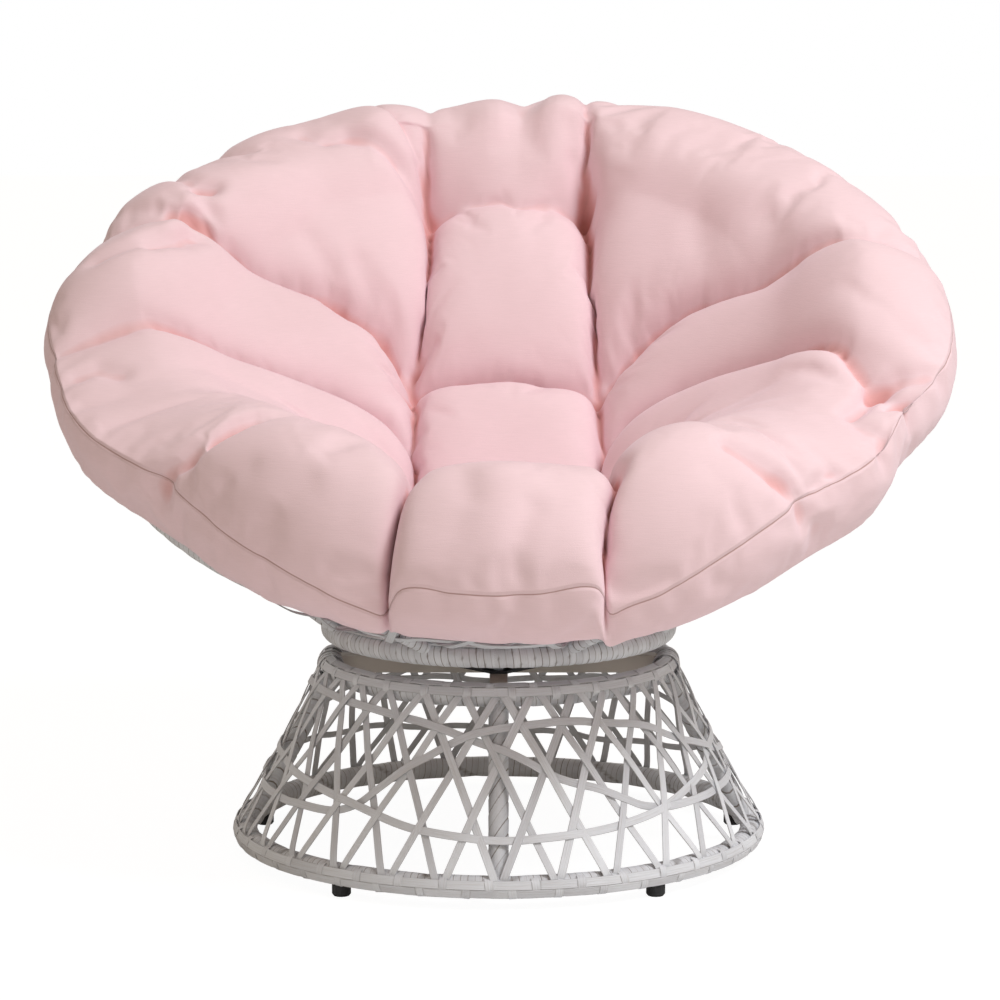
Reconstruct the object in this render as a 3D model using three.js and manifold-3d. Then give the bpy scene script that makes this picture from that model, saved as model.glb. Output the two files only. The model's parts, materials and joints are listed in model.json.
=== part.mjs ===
// A swivelling papasan chair: a woven cone base on five feet, a ball-race swivel,
// a tilted bowl of tube and woven strip, and a thick tufted cushion lying in it.
// Millimetres, +Z up, the sitter faces -Y. Everything is set out round the swivel
// axis, and the finished group is then moved so that the origin lies on the floor
// under the middle of the chair's own box.

import * as THREE from 'three';
import { mergeVertices } from 'three/addons/utils/BufferGeometryUtils.js';
import Module from 'manifold-3d';

const wasm = await Module();
wasm.setup();

// Clearances
const seatGap = 0.3;
const cutOverrun = 5;

// Base: two rings of wrapped tube, four posts and a cross of square tube
const baseRingRadius = 279;
const baseRingTubeRadius = 12;
const baseTopRingRadius = 183.5;
const baseTopRingTubeRadius = 11.5;
const baseTopRingHeight = 203;
const postRadius = 10;
const postInset = 4;
const barSide = 19;
const barWall = 1.6;

// Feet
const footCount = 5;
const footHeight = 10.5;
const footRadius = 10;
const footHeelRadius = 8.5;
const footHeelHeight = 2;
const footSocketHeight = 5;

// Swivel: two square plates with pressed races, and a cage of balls between them
const swivelPlateSide = 172;
const swivelPlateThickness = 3;
const swivelPlateCornerCut = 9;
const swivelPlateSpacing = 16;
const swivelBoltInset = 17;
const swivelCentreHoleRadius = 20;
const raceRadius = 52;
const raceHalfWidth = 11;
const raceGap = 3;
const ballRadius = 4;
const ballClearance = 0.9;
const ballCount = 8;
const cageThickness = 1.6;
const cageHalfWidth = 7;
const lipFlange = 3;
const lipClearance = 1;
const lipThickness = 2;
const boltShankRadius = 3;
const boltHoleClearance = 0.3;
const boltShankLength = 14;
const boltHeadRadius = 5.8;
const boltHeadHeight = 4;

// Bowl: a level bottom ring and a tilted rim, with straight ribs and taut strips between them
const bowlRimRadius = 440;
const bowlTilt = THREE.MathUtils.degToRad(28);
const bowlRimHeight = 500;
const bowlRimSetBack = 111.5;
const bowlRingRadius = 183.5;
const bowlTubeRadius = 11.5;
const bowlSectionLean = -Math.PI / 4;
const ribCount = 8;
const ribRadius = 7;
const ribInset = 3.4;

// Weave: two layers of flat strip that lean opposite ways, each sewn to a border band
const stripWidth = 8;
const stripThickness = 1.8;
const stripEndGap = 1;
const baseStripCount = 30;
const baseStripSpan = 2;
const bowlStripCount = 26;
const bowlStripSpan = 2;
const bowlWeaveGap = 1;
const bowlLayerGap = 2.6;
const borderWidth = 19;
const hoopWidth = 8;
const hoopThickness = 1.6;
const hoopClearance = 0.5;

// Height of each base hoop at even steps of azimuth, as a share of the cone's slant
const highHoopShares = [0.72, 0.5, 0.33, 0.31, 0.42, 0.7, 0.6, 0.4, 0.3, 0.52, 0.86, 0.86];
const crossingHoopShares = [0.79, 0.83, 0.63, 0.42, 0.5, 0.62, 0.44, 0.3, 0.33, 0.3, 0.28, 0.44];
const lowHoopShares = [0.22, 0.26, 0.45, 0.62, 0.72, 0.5, 0.26, 0.52, 0.72, 0.6, 0.44, 0.32];

// Height of the two bowl hoops between the bottom ring and the rim
const bowlHoopShares = [0.34, 0.68];

// Cushion: boxed edge over the rim, crowned lobes between sewn creases
const cushionGap = 1.2;
const cushionOutline = 500;
const cushionCrownRadius = 398;
const cushionCrownHeight = 170;
const cushionEdgeHeight = 31;
const cushionSeamHeight = 92;
const dishRadius = 370;
const dishCentreHeight = 237.5;
const seatLoft = 146;
const seatBlend = 30;
const leastPadding = 48;
const cushionRimLift = 22;
const cushionBoxBulge = 4;
const creaseDepth = 76;
const creaseHalfWidth = 36;
const edgeCreaseDepth = 40;
const rimPinch = 8;
const rimPinchHalfWidth = 40;

// Outline and crown at even steps of azimuth from the front, as shares of the sizes above
const outlineShares = [
  1.02, 1.02, 0.99, 0.97, 0.97, 1.0, 1.0, 0.99, 0.98, 0.97, 0.96, 0.95,
  0.94, 0.95, 0.94, 0.96, 0.97, 0.96, 1.0, 0.99, 0.99, 0.95, 0.99, 1.01,
];
const crownShares = [
  1.0, 0.97, 1.04, 1.03, 1.02, 0.97, 0.97, 0.91, 0.91, 0.87, 0.82, 0.74,
  0.76, 0.73, 0.79, 0.84, 0.88, 0.9, 0.99, 0.97, 1.01, 1.02, 1.04, 0.98,
];

// Plan of the sewn creases, in shares of the cushion outline: +x right, +y up the slope,
// and last how much of the full depth each place is pulled in
const leftColumnShares = [
  [-0.18, 0.96, 0.5], [-0.17, 0.66, 0.9], [-0.17, 0.47, 0.8], [-0.19, 0.22, 1], [-0.18, 0, 0.9],
  [-0.2, -0.23, 1], [-0.19, -0.58, 0.9], [-0.17, -0.78, 0.8], [-0.25, -1, 0.9],
];
const rightColumnShares = [
  [0.21, 0.97, 0.5], [0.21, 0.65, 0.9], [0.22, 0.47, 0.8], [0.23, 0.2, 1], [0.23, 0, 0.9],
  [0.23, -0.23, 1], [0.22, -0.58, 0.9], [0.24, -0.79, 0.8], [0.21, -1, 0.9],
];
const sideCreaseShares = [
  [[-0.19, 0.22, 1], [-0.27, 0.29, 0.9], [-0.42, 0.3, 0.8], [-0.64, 0.27, 0.7], [-1, 0.26, 0.8]],
  [[-0.18, 0, 0.9], [-0.27, 0.04, 0.9], [-0.49, 0.02, 0.8], [-0.73, -0.08, 0.6], [-1, -0.18, 0.5]],
  [[-0.17, 0.66, 0.9], [-0.3, 0.79, 0.5], [-0.5, 0.9, 0.7]],
  [[-0.6, -0.48, 0], [-0.69, -0.64, 0.7], [-0.74, -0.69, 0.9]],
  [[0.23, 0.2, 1], [0.32, 0.25, 0.9], [0.53, 0.25, 0.8], [0.76, 0.21, 0.6], [1, 0.2, 0.7]],
  [[0.23, 0, 0.9], [0.41, 0.04, 0.8], [0.65, -0.06, 0.8], [0.8, -0.28, 0.8], [0.91, -0.47, 0.9]],
  [[0.48, -0.58, 0], [0.58, -0.7, 0.7], [0.64, -0.76, 0.8]],
];
const crossCreaseShares = [
  [[-0.17, 0.66, 0.9], [0.02, 0.66, 0.6], [0.21, 0.65, 0.9]],
  [[-0.19, 0.22, 1], [0.02, 0.25, 0.8], [0.23, 0.2, 1]],
  [[-0.2, -0.23, 1], [0.02, -0.2, 0.8], [0.23, -0.23, 1]],
];

// Middle of the lobe that lies nearest to the cushion's own centre
const lobeCentreShares = [0.02, 0.02];

// Facets
const ringSegments = 44;
const smallRingSegments = 34;
const rimSegments = 48;
const tubeSides = 8;
const ribSides = 6;
const postSides = 12;
const raceSegments = 20;
const grooveSteps = 4;
const ballSides = 6;
const ballRows = 4;
const hoopSteps = 40;
const bowlHoopSteps = 36;
const bowlStripSteps = 5;
const cushionSpokes = 48;
const cushionUnderSteps = 4;
const cushionTopSteps = 11;
const cushionCrownSteps = 4;
const boxRows = 3;
const rimHugSteps = 2;
const wallHalvings = 24;
const wallReachShares = [-0.5, 1.2];

// Sizes that follow from the ones above
const baseRingHeight = footHeight + baseRingTubeRadius;
const lowerPlateHeight = baseTopRingHeight + barSide / 2 + seatGap;
const lowerPlateTop = lowerPlateHeight + swivelPlateThickness;
const upperPlateHeight = lowerPlateTop + swivelPlateSpacing;
const upperPlateTop = upperPlateHeight + swivelPlateThickness;
const bowlRingHeight = upperPlateTop + seatGap + barSide / 2;
const ballHeight = lowerPlateTop + swivelPlateSpacing / 2;
const boltCircleRadius = swivelPlateSide / Math.SQRT2 - swivelBoltInset;
const cushionLowest = bowlRingHeight + barSide / 2 + seatGap;

// Materials
const resinWicker = { color: 0xd3cfcd, roughness: 0.62, metalness: 0 };
const powderCoat = { color: 0xd9d2c8, roughness: 0.5, metalness: 0.1 };
const blackSteel = { color: 0x1c1c1d, roughness: 0.45, metalness: 0.5 };
const zincSteel = { color: 0x9fa2a4, roughness: 0.35, metalness: 0.9 };
const blackRubber = { color: 0x191919, roughness: 0.8, metalness: 0 };
const pinkCloth = { color: 0xf2cbcb, roughness: 0.92, metalness: 0 };

const chair = new THREE.Group();

function addPiece(name, geometry, finish) {
  const mesh = new THREE.Mesh(geometry, new THREE.MeshStandardMaterial(finish));
  mesh.name = name;
  chair.add(mesh);
  return mesh;
}

// Solids and booleans

function toSolid(geometry) {
  const bare = geometry.clone();
  bare.deleteAttribute('normal');
  bare.deleteAttribute('uv');
  const merged = mergeVertices(bare, 1e-4);
  const index = merged.index.array;
  const kept = [];
  for (let i = 0; i < index.length; i += 3) {
    const [a, b, c] = [index[i], index[i + 1], index[i + 2]];
    if (a !== b && b !== c && c !== a) {
      kept.push(a, b, c);
    }
  }
  return new wasm.Manifold(new wasm.Mesh({
    numProp: 3,
    vertProperties: new Float32Array(merged.attributes.position.array),
    triVerts: new Uint32Array(kept),
  }));
}

function toGeometry(solid) {
  const mesh = solid.getMesh();
  const geometry = new THREE.BufferGeometry();
  geometry.setAttribute('position', new THREE.BufferAttribute(new Float32Array(mesh.vertProperties), 3));
  geometry.setIndex(new THREE.BufferAttribute(new Uint32Array(mesh.triVerts), 1));
  return geometry;
}

function cutAway(geometry, ...cutters) {
  let solid = toSolid(geometry);
  for (const cutter of cutters) {
    solid = solid.subtract(toSolid(cutter));
  }
  return toGeometry(solid);
}

function joined(geometries) {
  let solid = toSolid(geometries[0]);
  for (const geometry of geometries.slice(1)) {
    solid = solid.add(toSolid(geometry));
  }
  return toGeometry(solid);
}

// Plain forms

// A ring of tube round the vertical axis, with one corner of its section at the given lean
function ring(radius, tubeRadius, segments, lean) {
  const section = [];
  for (let k = 0; k <= tubeSides; k += 1) {
    const turn = lean + (k % tubeSides) / tubeSides * 2 * Math.PI;
    section.push([radius + tubeRadius * Math.cos(turn), tubeRadius * Math.sin(turn)]);
  }
  return lathe(section, segments);
}

function ball(place) {
  const sphere = new THREE.SphereGeometry(ballRadius, ballSides, ballRows);
  return sphere.rotateX(Math.PI / 2).translate(place.x, place.y, place.z);
}

function rodBetween(start, end, radius, sides) {
  const along = new THREE.Vector3().subVectors(end, start);
  const rod = new THREE.CylinderGeometry(radius, radius, along.length(), sides);
  const turn = new THREE.Quaternion().setFromUnitVectors(new THREE.Vector3(0, 1, 0), along.clone().normalize());
  rod.applyQuaternion(turn);
  const middle = new THREE.Vector3().addVectors(start, end).multiplyScalar(0.5);
  return rod.translate(middle.x, middle.y, middle.z);
}

function uprightRod(x, y, low, high, radius, sides) {
  return rodBetween(new THREE.Vector3(x, y, low), new THREE.Vector3(x, y, high), radius, sides);
}

function lathe(profile, segments) {
  const points = profile.map(([radius, height]) => new THREE.Vector2(radius, height));
  return new THREE.LatheGeometry(points, segments).rotateX(Math.PI / 2);
}

// A solid square rod along X from one x to another, centred on y = 0 and z = 0
function squareRod(fromX, toX, half) {
  const rod = new THREE.BoxGeometry(toX - fromX, 2 * half, 2 * half);
  return rod.translate((fromX + toX) / 2, 0, 0);
}

// A square tube along X from one x to another, centred on y = 0 and z = 0
function squareTube(fromX, toX) {
  const half = barSide / 2;
  const inner = half - barWall;
  const outline = new THREE.Shape([
    new THREE.Vector2(-half, -half), new THREE.Vector2(half, -half),
    new THREE.Vector2(half, half), new THREE.Vector2(-half, half),
  ]);
  outline.holes.push(new THREE.Path([
    new THREE.Vector2(-inner, -inner), new THREE.Vector2(-inner, inner),
    new THREE.Vector2(inner, inner), new THREE.Vector2(inner, -inner),
  ]));
  const tube = new THREE.ExtrudeGeometry(outline, { depth: toX - fromX, bevelEnabled: false });
  return tube.rotateY(Math.PI / 2).translate(fromX, 0, 0);
}

// A flat strip laid along stations of place and outward normal
function strip(stations, width, thickness, closed) {
  const count = stations.length;
  const corners = [];
  for (let i = 0; i < count; i += 1) {
    const before = stations[closed ? (i + count - 1) % count : Math.max(i - 1, 0)].place;
    const after = stations[closed ? (i + 1) % count : Math.min(i + 1, count - 1)].place;
    const along = new THREE.Vector3().subVectors(after, before).normalize();
    const out = stations[i].normal;
    const side = new THREE.Vector3().crossVectors(out, along).normalize();
    for (const [across, lift] of [[-1, -1], [1, -1], [1, 1], [-1, 1]]) {
      const corner = stations[i].place.clone();
      corner.addScaledVector(side, across * width / 2).addScaledVector(out, lift * thickness / 2);
      corners.push(corner);
    }
  }
  const index = [];
  const lengths = closed ? count : count - 1;
  for (let i = 0; i < lengths; i += 1) {
    const here = 4 * i;
    const next = 4 * ((i + 1) % count);
    for (let k = 0; k < 4; k += 1) {
      const turn = (k + 1) % 4;
      index.push(here + k, next + k, next + turn, here + k, next + turn, here + turn);
    }
  }
  if (!closed) {
    const last = 4 * (count - 1);
    index.push(0, 1, 2, 0, 2, 3);
    index.push(last, last + 2, last + 1, last, last + 3, last + 2);
  }
  return closedMesh(corners, index);
}

// A closed mesh whose faces are turned to point out if they point in
function closedMesh(corners, index) {
  const origin = corners[0];
  let volume = 0;
  for (let i = 0; i < index.length; i += 3) {
    const a = new THREE.Vector3().subVectors(corners[index[i]], origin);
    const b = new THREE.Vector3().subVectors(corners[index[i + 1]], origin);
    const c = new THREE.Vector3().subVectors(corners[index[i + 2]], origin);
    volume += a.dot(b.cross(c));
  }
  const facing = index.slice();
  if (volume < 0) {
    for (let i = 0; i < facing.length; i += 3) {
      [facing[i], facing[i + 1]] = [facing[i + 1], facing[i]];
    }
  }
  const geometry = new THREE.BufferGeometry();
  geometry.setAttribute('position', new THREE.Float32BufferAttribute(corners.flatMap((c) => c.toArray()), 3));
  geometry.setIndex(facing);
  return geometry;
}

// Value of an even closed table at an azimuth, eased between its entries
function roundTable(table, azimuth) {
  const turn = THREE.MathUtils.euclideanModulo(azimuth / (2 * Math.PI), 1) * table.length;
  const low = Math.floor(turn) % table.length;
  const at = (k) => table[THREE.MathUtils.euclideanModulo(low + k, table.length)];
  const t = turn - Math.floor(turn);
  const slopeLow = (at(1) - at(-1)) / 2;
  const slopeHigh = (at(2) - at(0)) / 2;
  const t2 = t * t;
  const t3 = t2 * t;
  return at(0) * (2 * t3 - 3 * t2 + 1) + slopeLow * (t3 - 2 * t2 + t)
    + at(1) * (3 * t2 - 2 * t3) + slopeHigh * (t3 - t2);
}

// Places round the swivel axis: azimuth 0 is the front, and it grows towards +X
function around(radius, azimuth, height) {
  return new THREE.Vector3(radius * Math.sin(azimuth), -radius * Math.cos(azimuth), height);
}

// Base: the weave lies on the cone that touches both rings, which leans in by this much

const coneLean = Math.atan2(baseRingRadius - baseTopRingRadius, baseTopRingHeight - baseRingHeight);

function baseRingTube(extra) {
  return ring(baseRingRadius, baseRingTubeRadius + extra, ringSegments, coneLean)
    .translate(0, 0, baseRingHeight);
}

function baseTopRingTube(extra) {
  return ring(baseTopRingRadius, baseTopRingTubeRadius + extra, smallRingSegments, coneLean)
    .translate(0, 0, baseTopRingHeight);
}

const baseRingSocket = baseRingTube(seatGap);
const baseTopRingSocket = baseTopRingTube(seatGap);

function buildBaseRings() {
  addPiece('base_bottom_ring', baseRingTube(0), resinWicker);
  addPiece('base_top_ring', baseTopRingTube(0), resinWicker);
}

function buildPosts() {
  const names = ['base_post_front', 'base_post_right', 'base_post_rear', 'base_post_left'];
  names.forEach((name, k) => {
    const azimuth = k * Math.PI / 2;
    const post = rodBetween(
      around(baseRingRadius - postInset, azimuth, baseRingHeight),
      around(baseTopRingRadius - postInset, azimuth, baseTopRingHeight),
      postRadius,
      postSides,
    );
    const barSocket = squareRod(0, baseTopRingRadius, barSide / 2 + seatGap)
      .rotateZ(azimuth - Math.PI / 2).translate(0, 0, baseTopRingHeight);
    addPiece(name, cutAway(post, baseRingSocket, baseTopRingSocket, barSocket), resinWicker);
  });
}

function buildFeet() {
  const names = ['foot_front_right', 'foot_side_right', 'foot_rear', 'foot_side_left', 'foot_front_left'];
  for (let k = 0; k < footCount; k += 1) {
    const azimuth = (k + 0.5) * 2 * Math.PI / footCount;
    const foot = lathe([
      [0, 0], [footHeelRadius, 0], [footRadius, footHeelHeight],
      [footRadius, footHeight + footSocketHeight], [0, footHeight + footSocketHeight],
    ], postSides);
    const place = around(baseRingRadius, azimuth, 0);
    foot.translate(place.x, place.y, place.z);
    addPiece(names[k], cutAway(foot, baseRingSocket), blackRubber);
  }
}

// A cross of one whole bar and two half bars, coped to a ring and drilled for the swivel's bolts
function buildCross(names, height, ringSolid, ringRadius) {
  const holes = [];
  for (let k = 0; k < 4; k += 1) {
    const place = around(boltCircleRadius, k * Math.PI / 2, 0);
    const reach = barSide / 2 + cutOverrun;
    holes.push(uprightRod(place.x, place.y, height - reach, height + reach,
      boltShankRadius + boltHoleClearance, tubeSides));
  }
  const across = squareTube(-ringRadius, ringRadius).translate(0, 0, height);
  const half = squareTube(barSide / 2 + seatGap, ringRadius);
  const front = half.clone().rotateZ(-Math.PI / 2).translate(0, 0, height);
  const rear = half.clone().rotateZ(Math.PI / 2).translate(0, 0, height);
  [across, front, rear].forEach((bar, k) => {
    addPiece(names[k], cutAway(bar, ringSolid, ...holes), powderCoat);
  });
}

// Strip places on the cone that touches both base rings from outside
function conePlace(azimuth, share, lift) {
  const tube = THREE.MathUtils.lerp(baseRingTubeRadius, baseTopRingTubeRadius, share) + lift;
  const radius = THREE.MathUtils.lerp(baseRingRadius, baseTopRingRadius, share) + tube * Math.cos(coneLean);
  const height = THREE.MathUtils.lerp(baseRingHeight, baseTopRingHeight, share) + tube * Math.sin(coneLean);
  const normal = around(Math.cos(coneLean), azimuth, Math.sin(coneLean));
  return { place: around(radius, azimuth, height), normal };
}

// A taut strip between the rings is straight, so half way up it lies nearer the axis
// than the cone, and its edges tip a little towards the tubes at its ends
const halfSpan = baseStripSpan * Math.PI / baseStripCount;
const stripTip = stripWidth / 2 * Math.sin(halfSpan);
const innerLayerLift = seatGap + stripTip + stripThickness / 2;
const outerLayerLift = innerLayerLift + stripThickness + stripTip + 2 * seatGap;
const stripEndAside = (stripWidth + stripEndGap) / 2;
const hoopSagitta = baseRingRadius * (1 - Math.cos(Math.PI / hoopSteps));
const hoopLift = outerLayerLift + stripThickness / 2 + stripTip + hoopSagitta + seatGap + hoopThickness / 2;

function stripDip(share) {
  const chord = share * (1 - share) * baseRingRadius * baseTopRingRadius * (1 - Math.cos(2 * halfSpan));
  return chord / THREE.MathUtils.lerp(baseRingRadius, baseTopRingRadius, share) * Math.cos(coneLean);
}

// A flat border band lying along a ring's tube on the side that the weave lies on
function borderBand(ringRadius, ringHeight, tubeRadius, lean, lift, segments) {
  const corner = (across, out) => {
    const reach = tubeRadius + lift + out * stripThickness / 2;
    const along = across * borderWidth / 2;
    return [
      ringRadius + reach * Math.cos(lean) - along * Math.sin(lean),
      ringHeight + reach * Math.sin(lean) + along * Math.cos(lean),
    ];
  };
  return lathe([corner(-1, -1), corner(-1, 1), corner(1, 1), corner(1, -1), corner(-1, -1)], segments);
}

function baseStrips(direction, lift) {
  const step = 2 * Math.PI / baseStripCount;
  const strips = [];
  for (let k = 0; k < baseStripCount; k += 1) {
    const low = k * step + direction * stripEndAside / baseRingRadius;
    const high = k * step + direction * (baseStripSpan * step - stripEndAside / baseTopRingRadius);
    const facing = conePlace((low + high) / 2, 0, lift).normal;
    const stations = [
      { place: conePlace(low, 0, lift).place, normal: facing },
      { place: conePlace(high, 1, lift).place, normal: facing },
    ];
    strips.push(strip(stations, stripWidth, stripThickness, false));
  }
  return strips;
}

function buildBaseWeave() {
  const lowBand = borderBand(baseRingRadius, baseRingHeight, baseRingTubeRadius, coneLean,
    seatGap + stripThickness / 2, ringSegments);
  const highBand = borderBand(baseTopRingRadius, baseTopRingHeight, baseTopRingTubeRadius, coneLean,
    outerLayerLift, smallRingSegments);
  addPiece('base_weave_inner', joined([lowBand, ...baseStrips(1, innerLayerLift)]), resinWicker);
  addPiece('base_weave_outer', joined([highBand, ...baseStrips(-1, outerLayerLift)]), resinWicker);
}

function buildBaseHoops() {
  const hoops = [
    ['base_hoop_high', highHoopShares, 0],
    ['base_hoop_crossing', crossingHoopShares, 1],
    ['base_hoop_low', lowHoopShares, 2],
  ];
  for (const [name, shares, layer] of hoops) {
    const lift = hoopLift + layer * (hoopThickness + hoopClearance);
    const stations = [];
    for (let s = 0; s < hoopSteps; s += 1) {
      const azimuth = s / hoopSteps * 2 * Math.PI;
      const share = roundTable(shares, azimuth);
      stations.push(conePlace(azimuth, share, lift - stripDip(share)));
    }
    addPiece(name, strip(stations, hoopWidth, hoopThickness, true), resinWicker);
  }
}

// Swivel

// A square plate with cut corners standing on the bars, drilled at its four corners
function swivelPlate(low) {
  const reach = swivelPlateSide / Math.SQRT2;
  const corner = swivelPlateCornerCut;
  const outline = [];
  for (let k = 0; k < 4; k += 1) {
    const turn = k * Math.PI / 2;
    const out = new THREE.Vector2(Math.cos(turn), Math.sin(turn));
    const side = new THREE.Vector2(-out.y, out.x);
    outline.push(out.clone().multiplyScalar(reach - corner).addScaledVector(side, -corner));
    outline.push(out.clone().multiplyScalar(reach - corner).addScaledVector(side, corner));
  }
  const shape = new THREE.Shape(outline);
  shape.holes.push(new THREE.Path(circlePoints(swivelCentreHoleRadius, raceSegments, 0, 0)));
  for (let k = 0; k < 4; k += 1) {
    const place = around(boltCircleRadius, k * Math.PI / 2, 0);
    shape.holes.push(new THREE.Path(
      circlePoints(boltShankRadius + boltHoleClearance, tubeSides, place.x, place.y),
    ));
  }
  const plate = new THREE.ExtrudeGeometry(shape, { depth: swivelPlateThickness, bevelEnabled: false });
  return plate.translate(0, 0, low);
}

function circlePoints(radius, sides, x, y) {
  const points = [];
  for (let k = 0; k < sides; k += 1) {
    const turn = k / sides * 2 * Math.PI;
    points.push(new THREE.Vector2(x + radius * Math.cos(turn), y + radius * Math.sin(turn)));
  }
  return points;
}

// The ball groove in a race's face, from its outer edge to its inner one, as
// radius and depth below the face
function grooveProfile() {
  const radius = ballRadius + ballClearance;
  const half = raceGap / 2;
  const open = Math.acos(half / radius);
  const points = [];
  for (let s = 0; s <= grooveSteps; s += 1) {
    const turn = THREE.MathUtils.lerp(open, -open, s / grooveSteps);
    points.push([raceRadius + radius * Math.sin(turn), radius * Math.cos(turn) - half]);
  }
  return points;
}

function buildSwivel() {
  const raceHeight = (swivelPlateSpacing - raceGap) / 2;
  const flangeRadius = raceRadius + raceHalfWidth + lipFlange;
  const outerEdge = raceRadius + raceHalfWidth;
  const innerEdge = raceRadius - raceHalfWidth;
  const lowerFace = lowerPlateTop + raceHeight;
  const upperFace = upperPlateHeight - raceHeight;
  const weld = swivelPlateThickness / 2;

  const lowerRace = lathe([
    [innerEdge, lowerPlateTop - weld], [outerEdge, lowerPlateTop - weld],
    [outerEdge, lowerFace - lipThickness], [flangeRadius, lowerFace - lipThickness],
    [flangeRadius, lowerFace],
    ...grooveProfile().map(([radius, depth]) => [radius, lowerFace - depth]),
    [innerEdge, lowerFace], [innerEdge, lowerPlateTop - weld],
  ], raceSegments);
  addPiece('swivel_lower_plate', joined([swivelPlate(lowerPlateHeight), lowerRace]), blackSteel);

  const skirtInner = flangeRadius + lipClearance;
  const skirtOuter = skirtInner + lipThickness;
  const lipTop = lowerFace - lipThickness - lipClearance;
  const lipLow = lipTop - lipThickness / 2;
  const lipInner = outerEdge + lipClearance;
  const upperRace = lathe([
    [innerEdge, upperPlateHeight + weld], [innerEdge, upperFace],
    ...grooveProfile().reverse().map(([radius, depth]) => [radius, upperFace + depth]),
    [outerEdge, upperFace], [outerEdge, upperPlateHeight - weld],
    [skirtInner, upperPlateHeight - weld], [skirtInner, lipTop],
    [lipInner, lipTop], [lipInner, lipLow], [skirtOuter, lipLow],
    [skirtOuter, upperPlateHeight + weld], [innerEdge, upperPlateHeight + weld],
  ], raceSegments);
  addPiece('swivel_upper_plate', joined([swivelPlate(upperPlateHeight), upperRace]), blackSteel);

  const cage = lathe([
    [raceRadius - cageHalfWidth, ballHeight - cageThickness / 2],
    [raceRadius + cageHalfWidth, ballHeight - cageThickness / 2],
    [raceRadius + cageHalfWidth, ballHeight + cageThickness / 2],
    [raceRadius - cageHalfWidth, ballHeight + cageThickness / 2],
    [raceRadius - cageHalfWidth, ballHeight - cageThickness / 2],
  ], raceSegments);
  const balls = [];
  for (let k = 0; k < ballCount; k += 1) {
    const place = around(raceRadius, k / ballCount * 2 * Math.PI, ballHeight);
    balls.push(ball(place));
  }
  addPiece('swivel_ball_cage', joined([cage, ...balls]), zincSteel);
}

// Lower bolts stand head up on the lower plate, upper bolts hang head down under the upper one
function buildBolts() {
  const sides = ['front', 'right', 'rear', 'left'];
  sides.forEach((side, k) => {
    const place = around(boltCircleRadius, k * Math.PI / 2, 0);
    const lowerSeat = lowerPlateTop + seatGap;
    const upperSeat = upperPlateHeight - seatGap;
    addPiece(`lower_bolt_${side}`, joined([
      uprightRod(place.x, place.y, lowerSeat, lowerSeat + boltHeadHeight, boltHeadRadius, 6),
      uprightRod(place.x, place.y, lowerSeat - boltShankLength, lowerSeat + boltHeadHeight / 2,
        boltShankRadius, tubeSides),
    ]), zincSteel);
    addPiece(`upper_bolt_${side}`, joined([
      uprightRod(place.x, place.y, upperSeat - boltHeadHeight, upperSeat, boltHeadRadius, 6),
      uprightRod(place.x, place.y, upperSeat - boltHeadHeight / 2, upperSeat + boltShankLength,
        boltShankRadius, tubeSides),
    ]), zincSteel);
  });
}

// Bowl

const slopeUp = new THREE.Vector3(0, Math.cos(bowlTilt), Math.sin(bowlTilt));
const rimNormal = new THREE.Vector3(0, -Math.sin(bowlTilt), Math.cos(bowlTilt));
const rimCentre = new THREE.Vector3(0, bowlRimSetBack, bowlRimHeight);

function tilted(geometry) {
  const turn = new THREE.Matrix4().makeRotationX(bowlTilt).setPosition(rimCentre);
  return geometry.applyMatrix4(turn);
}

function bowlRingTube(extra) {
  return ring(bowlRingRadius, bowlTubeRadius + extra, smallRingSegments, bowlSectionLean)
    .translate(0, 0, bowlRingHeight);
}

function bowlRimTube(extra) {
  return tilted(ring(bowlRimRadius, bowlTubeRadius + extra, rimSegments, bowlSectionLean));
}

const bowlRingSocket = bowlRingTube(seatGap);
const bowlRimSocket = bowlRimTube(seatGap);

// A place on the straight wall between the two rings' centre lines, lifted outwards
function wallPlace(azimuth, share, lift) {
  const low = around(bowlRingRadius, azimuth, bowlRingHeight);
  const high = rimCentre.clone();
  high.x += bowlRimRadius * Math.sin(azimuth);
  high.addScaledVector(slopeUp, -bowlRimRadius * Math.cos(azimuth));
  const along = around(bowlRingRadius, azimuth + Math.PI / 2, 0);
  const alongRim = new THREE.Vector3(bowlRimRadius * Math.cos(azimuth), 0, 0);
  alongRim.addScaledVector(slopeUp, bowlRimRadius * Math.sin(azimuth));
  const normal = along.lerp(alongRim, share).cross(high.clone().sub(low)).normalize();
  return { place: low.lerp(high, share).addScaledVector(normal, lift), normal };
}

function buildBowlRings() {
  addPiece('bowl_bottom_ring', bowlRingTube(0), resinWicker);
  addPiece('bowl_rim', bowlRimTube(0), resinWicker);
}

function buildRibs() {
  for (let k = 0; k < ribCount; k += 1) {
    const azimuth = (k + 0.5) / ribCount * 2 * Math.PI;
    const low = wallPlace(azimuth, 0, -ribInset).place;
    const high = wallPlace(azimuth, 1, -ribInset).place;
    const rib = rodBetween(low, high, ribRadius, ribSides);
    addPiece(`bowl_rib_${k + 1}`, cutAway(rib, bowlRingSocket, bowlRimSocket), resinWicker);
  }
}

// The bowl's strips are all but straight, so they lie nearer its axis than the wall half way up
const bowlStripTurn = bowlStripSpan * 2 * Math.PI / bowlStripCount;
const bowlStripSagitta = bowlRimRadius * (1 - Math.cos(bowlStripTurn / bowlStripSteps / 2));
const bowlInnerLift = bowlTubeRadius + bowlWeaveGap + stripThickness;
const bowlOuterLift = bowlInnerLift + stripThickness + bowlStripSagitta + bowlLayerGap;

// How far round its own turn a straight strip has come at a share of the wall's height
function turnedShare(share) {
  return share * bowlRimRadius / THREE.MathUtils.lerp(bowlRingRadius, bowlRimRadius, share);
}

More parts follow.
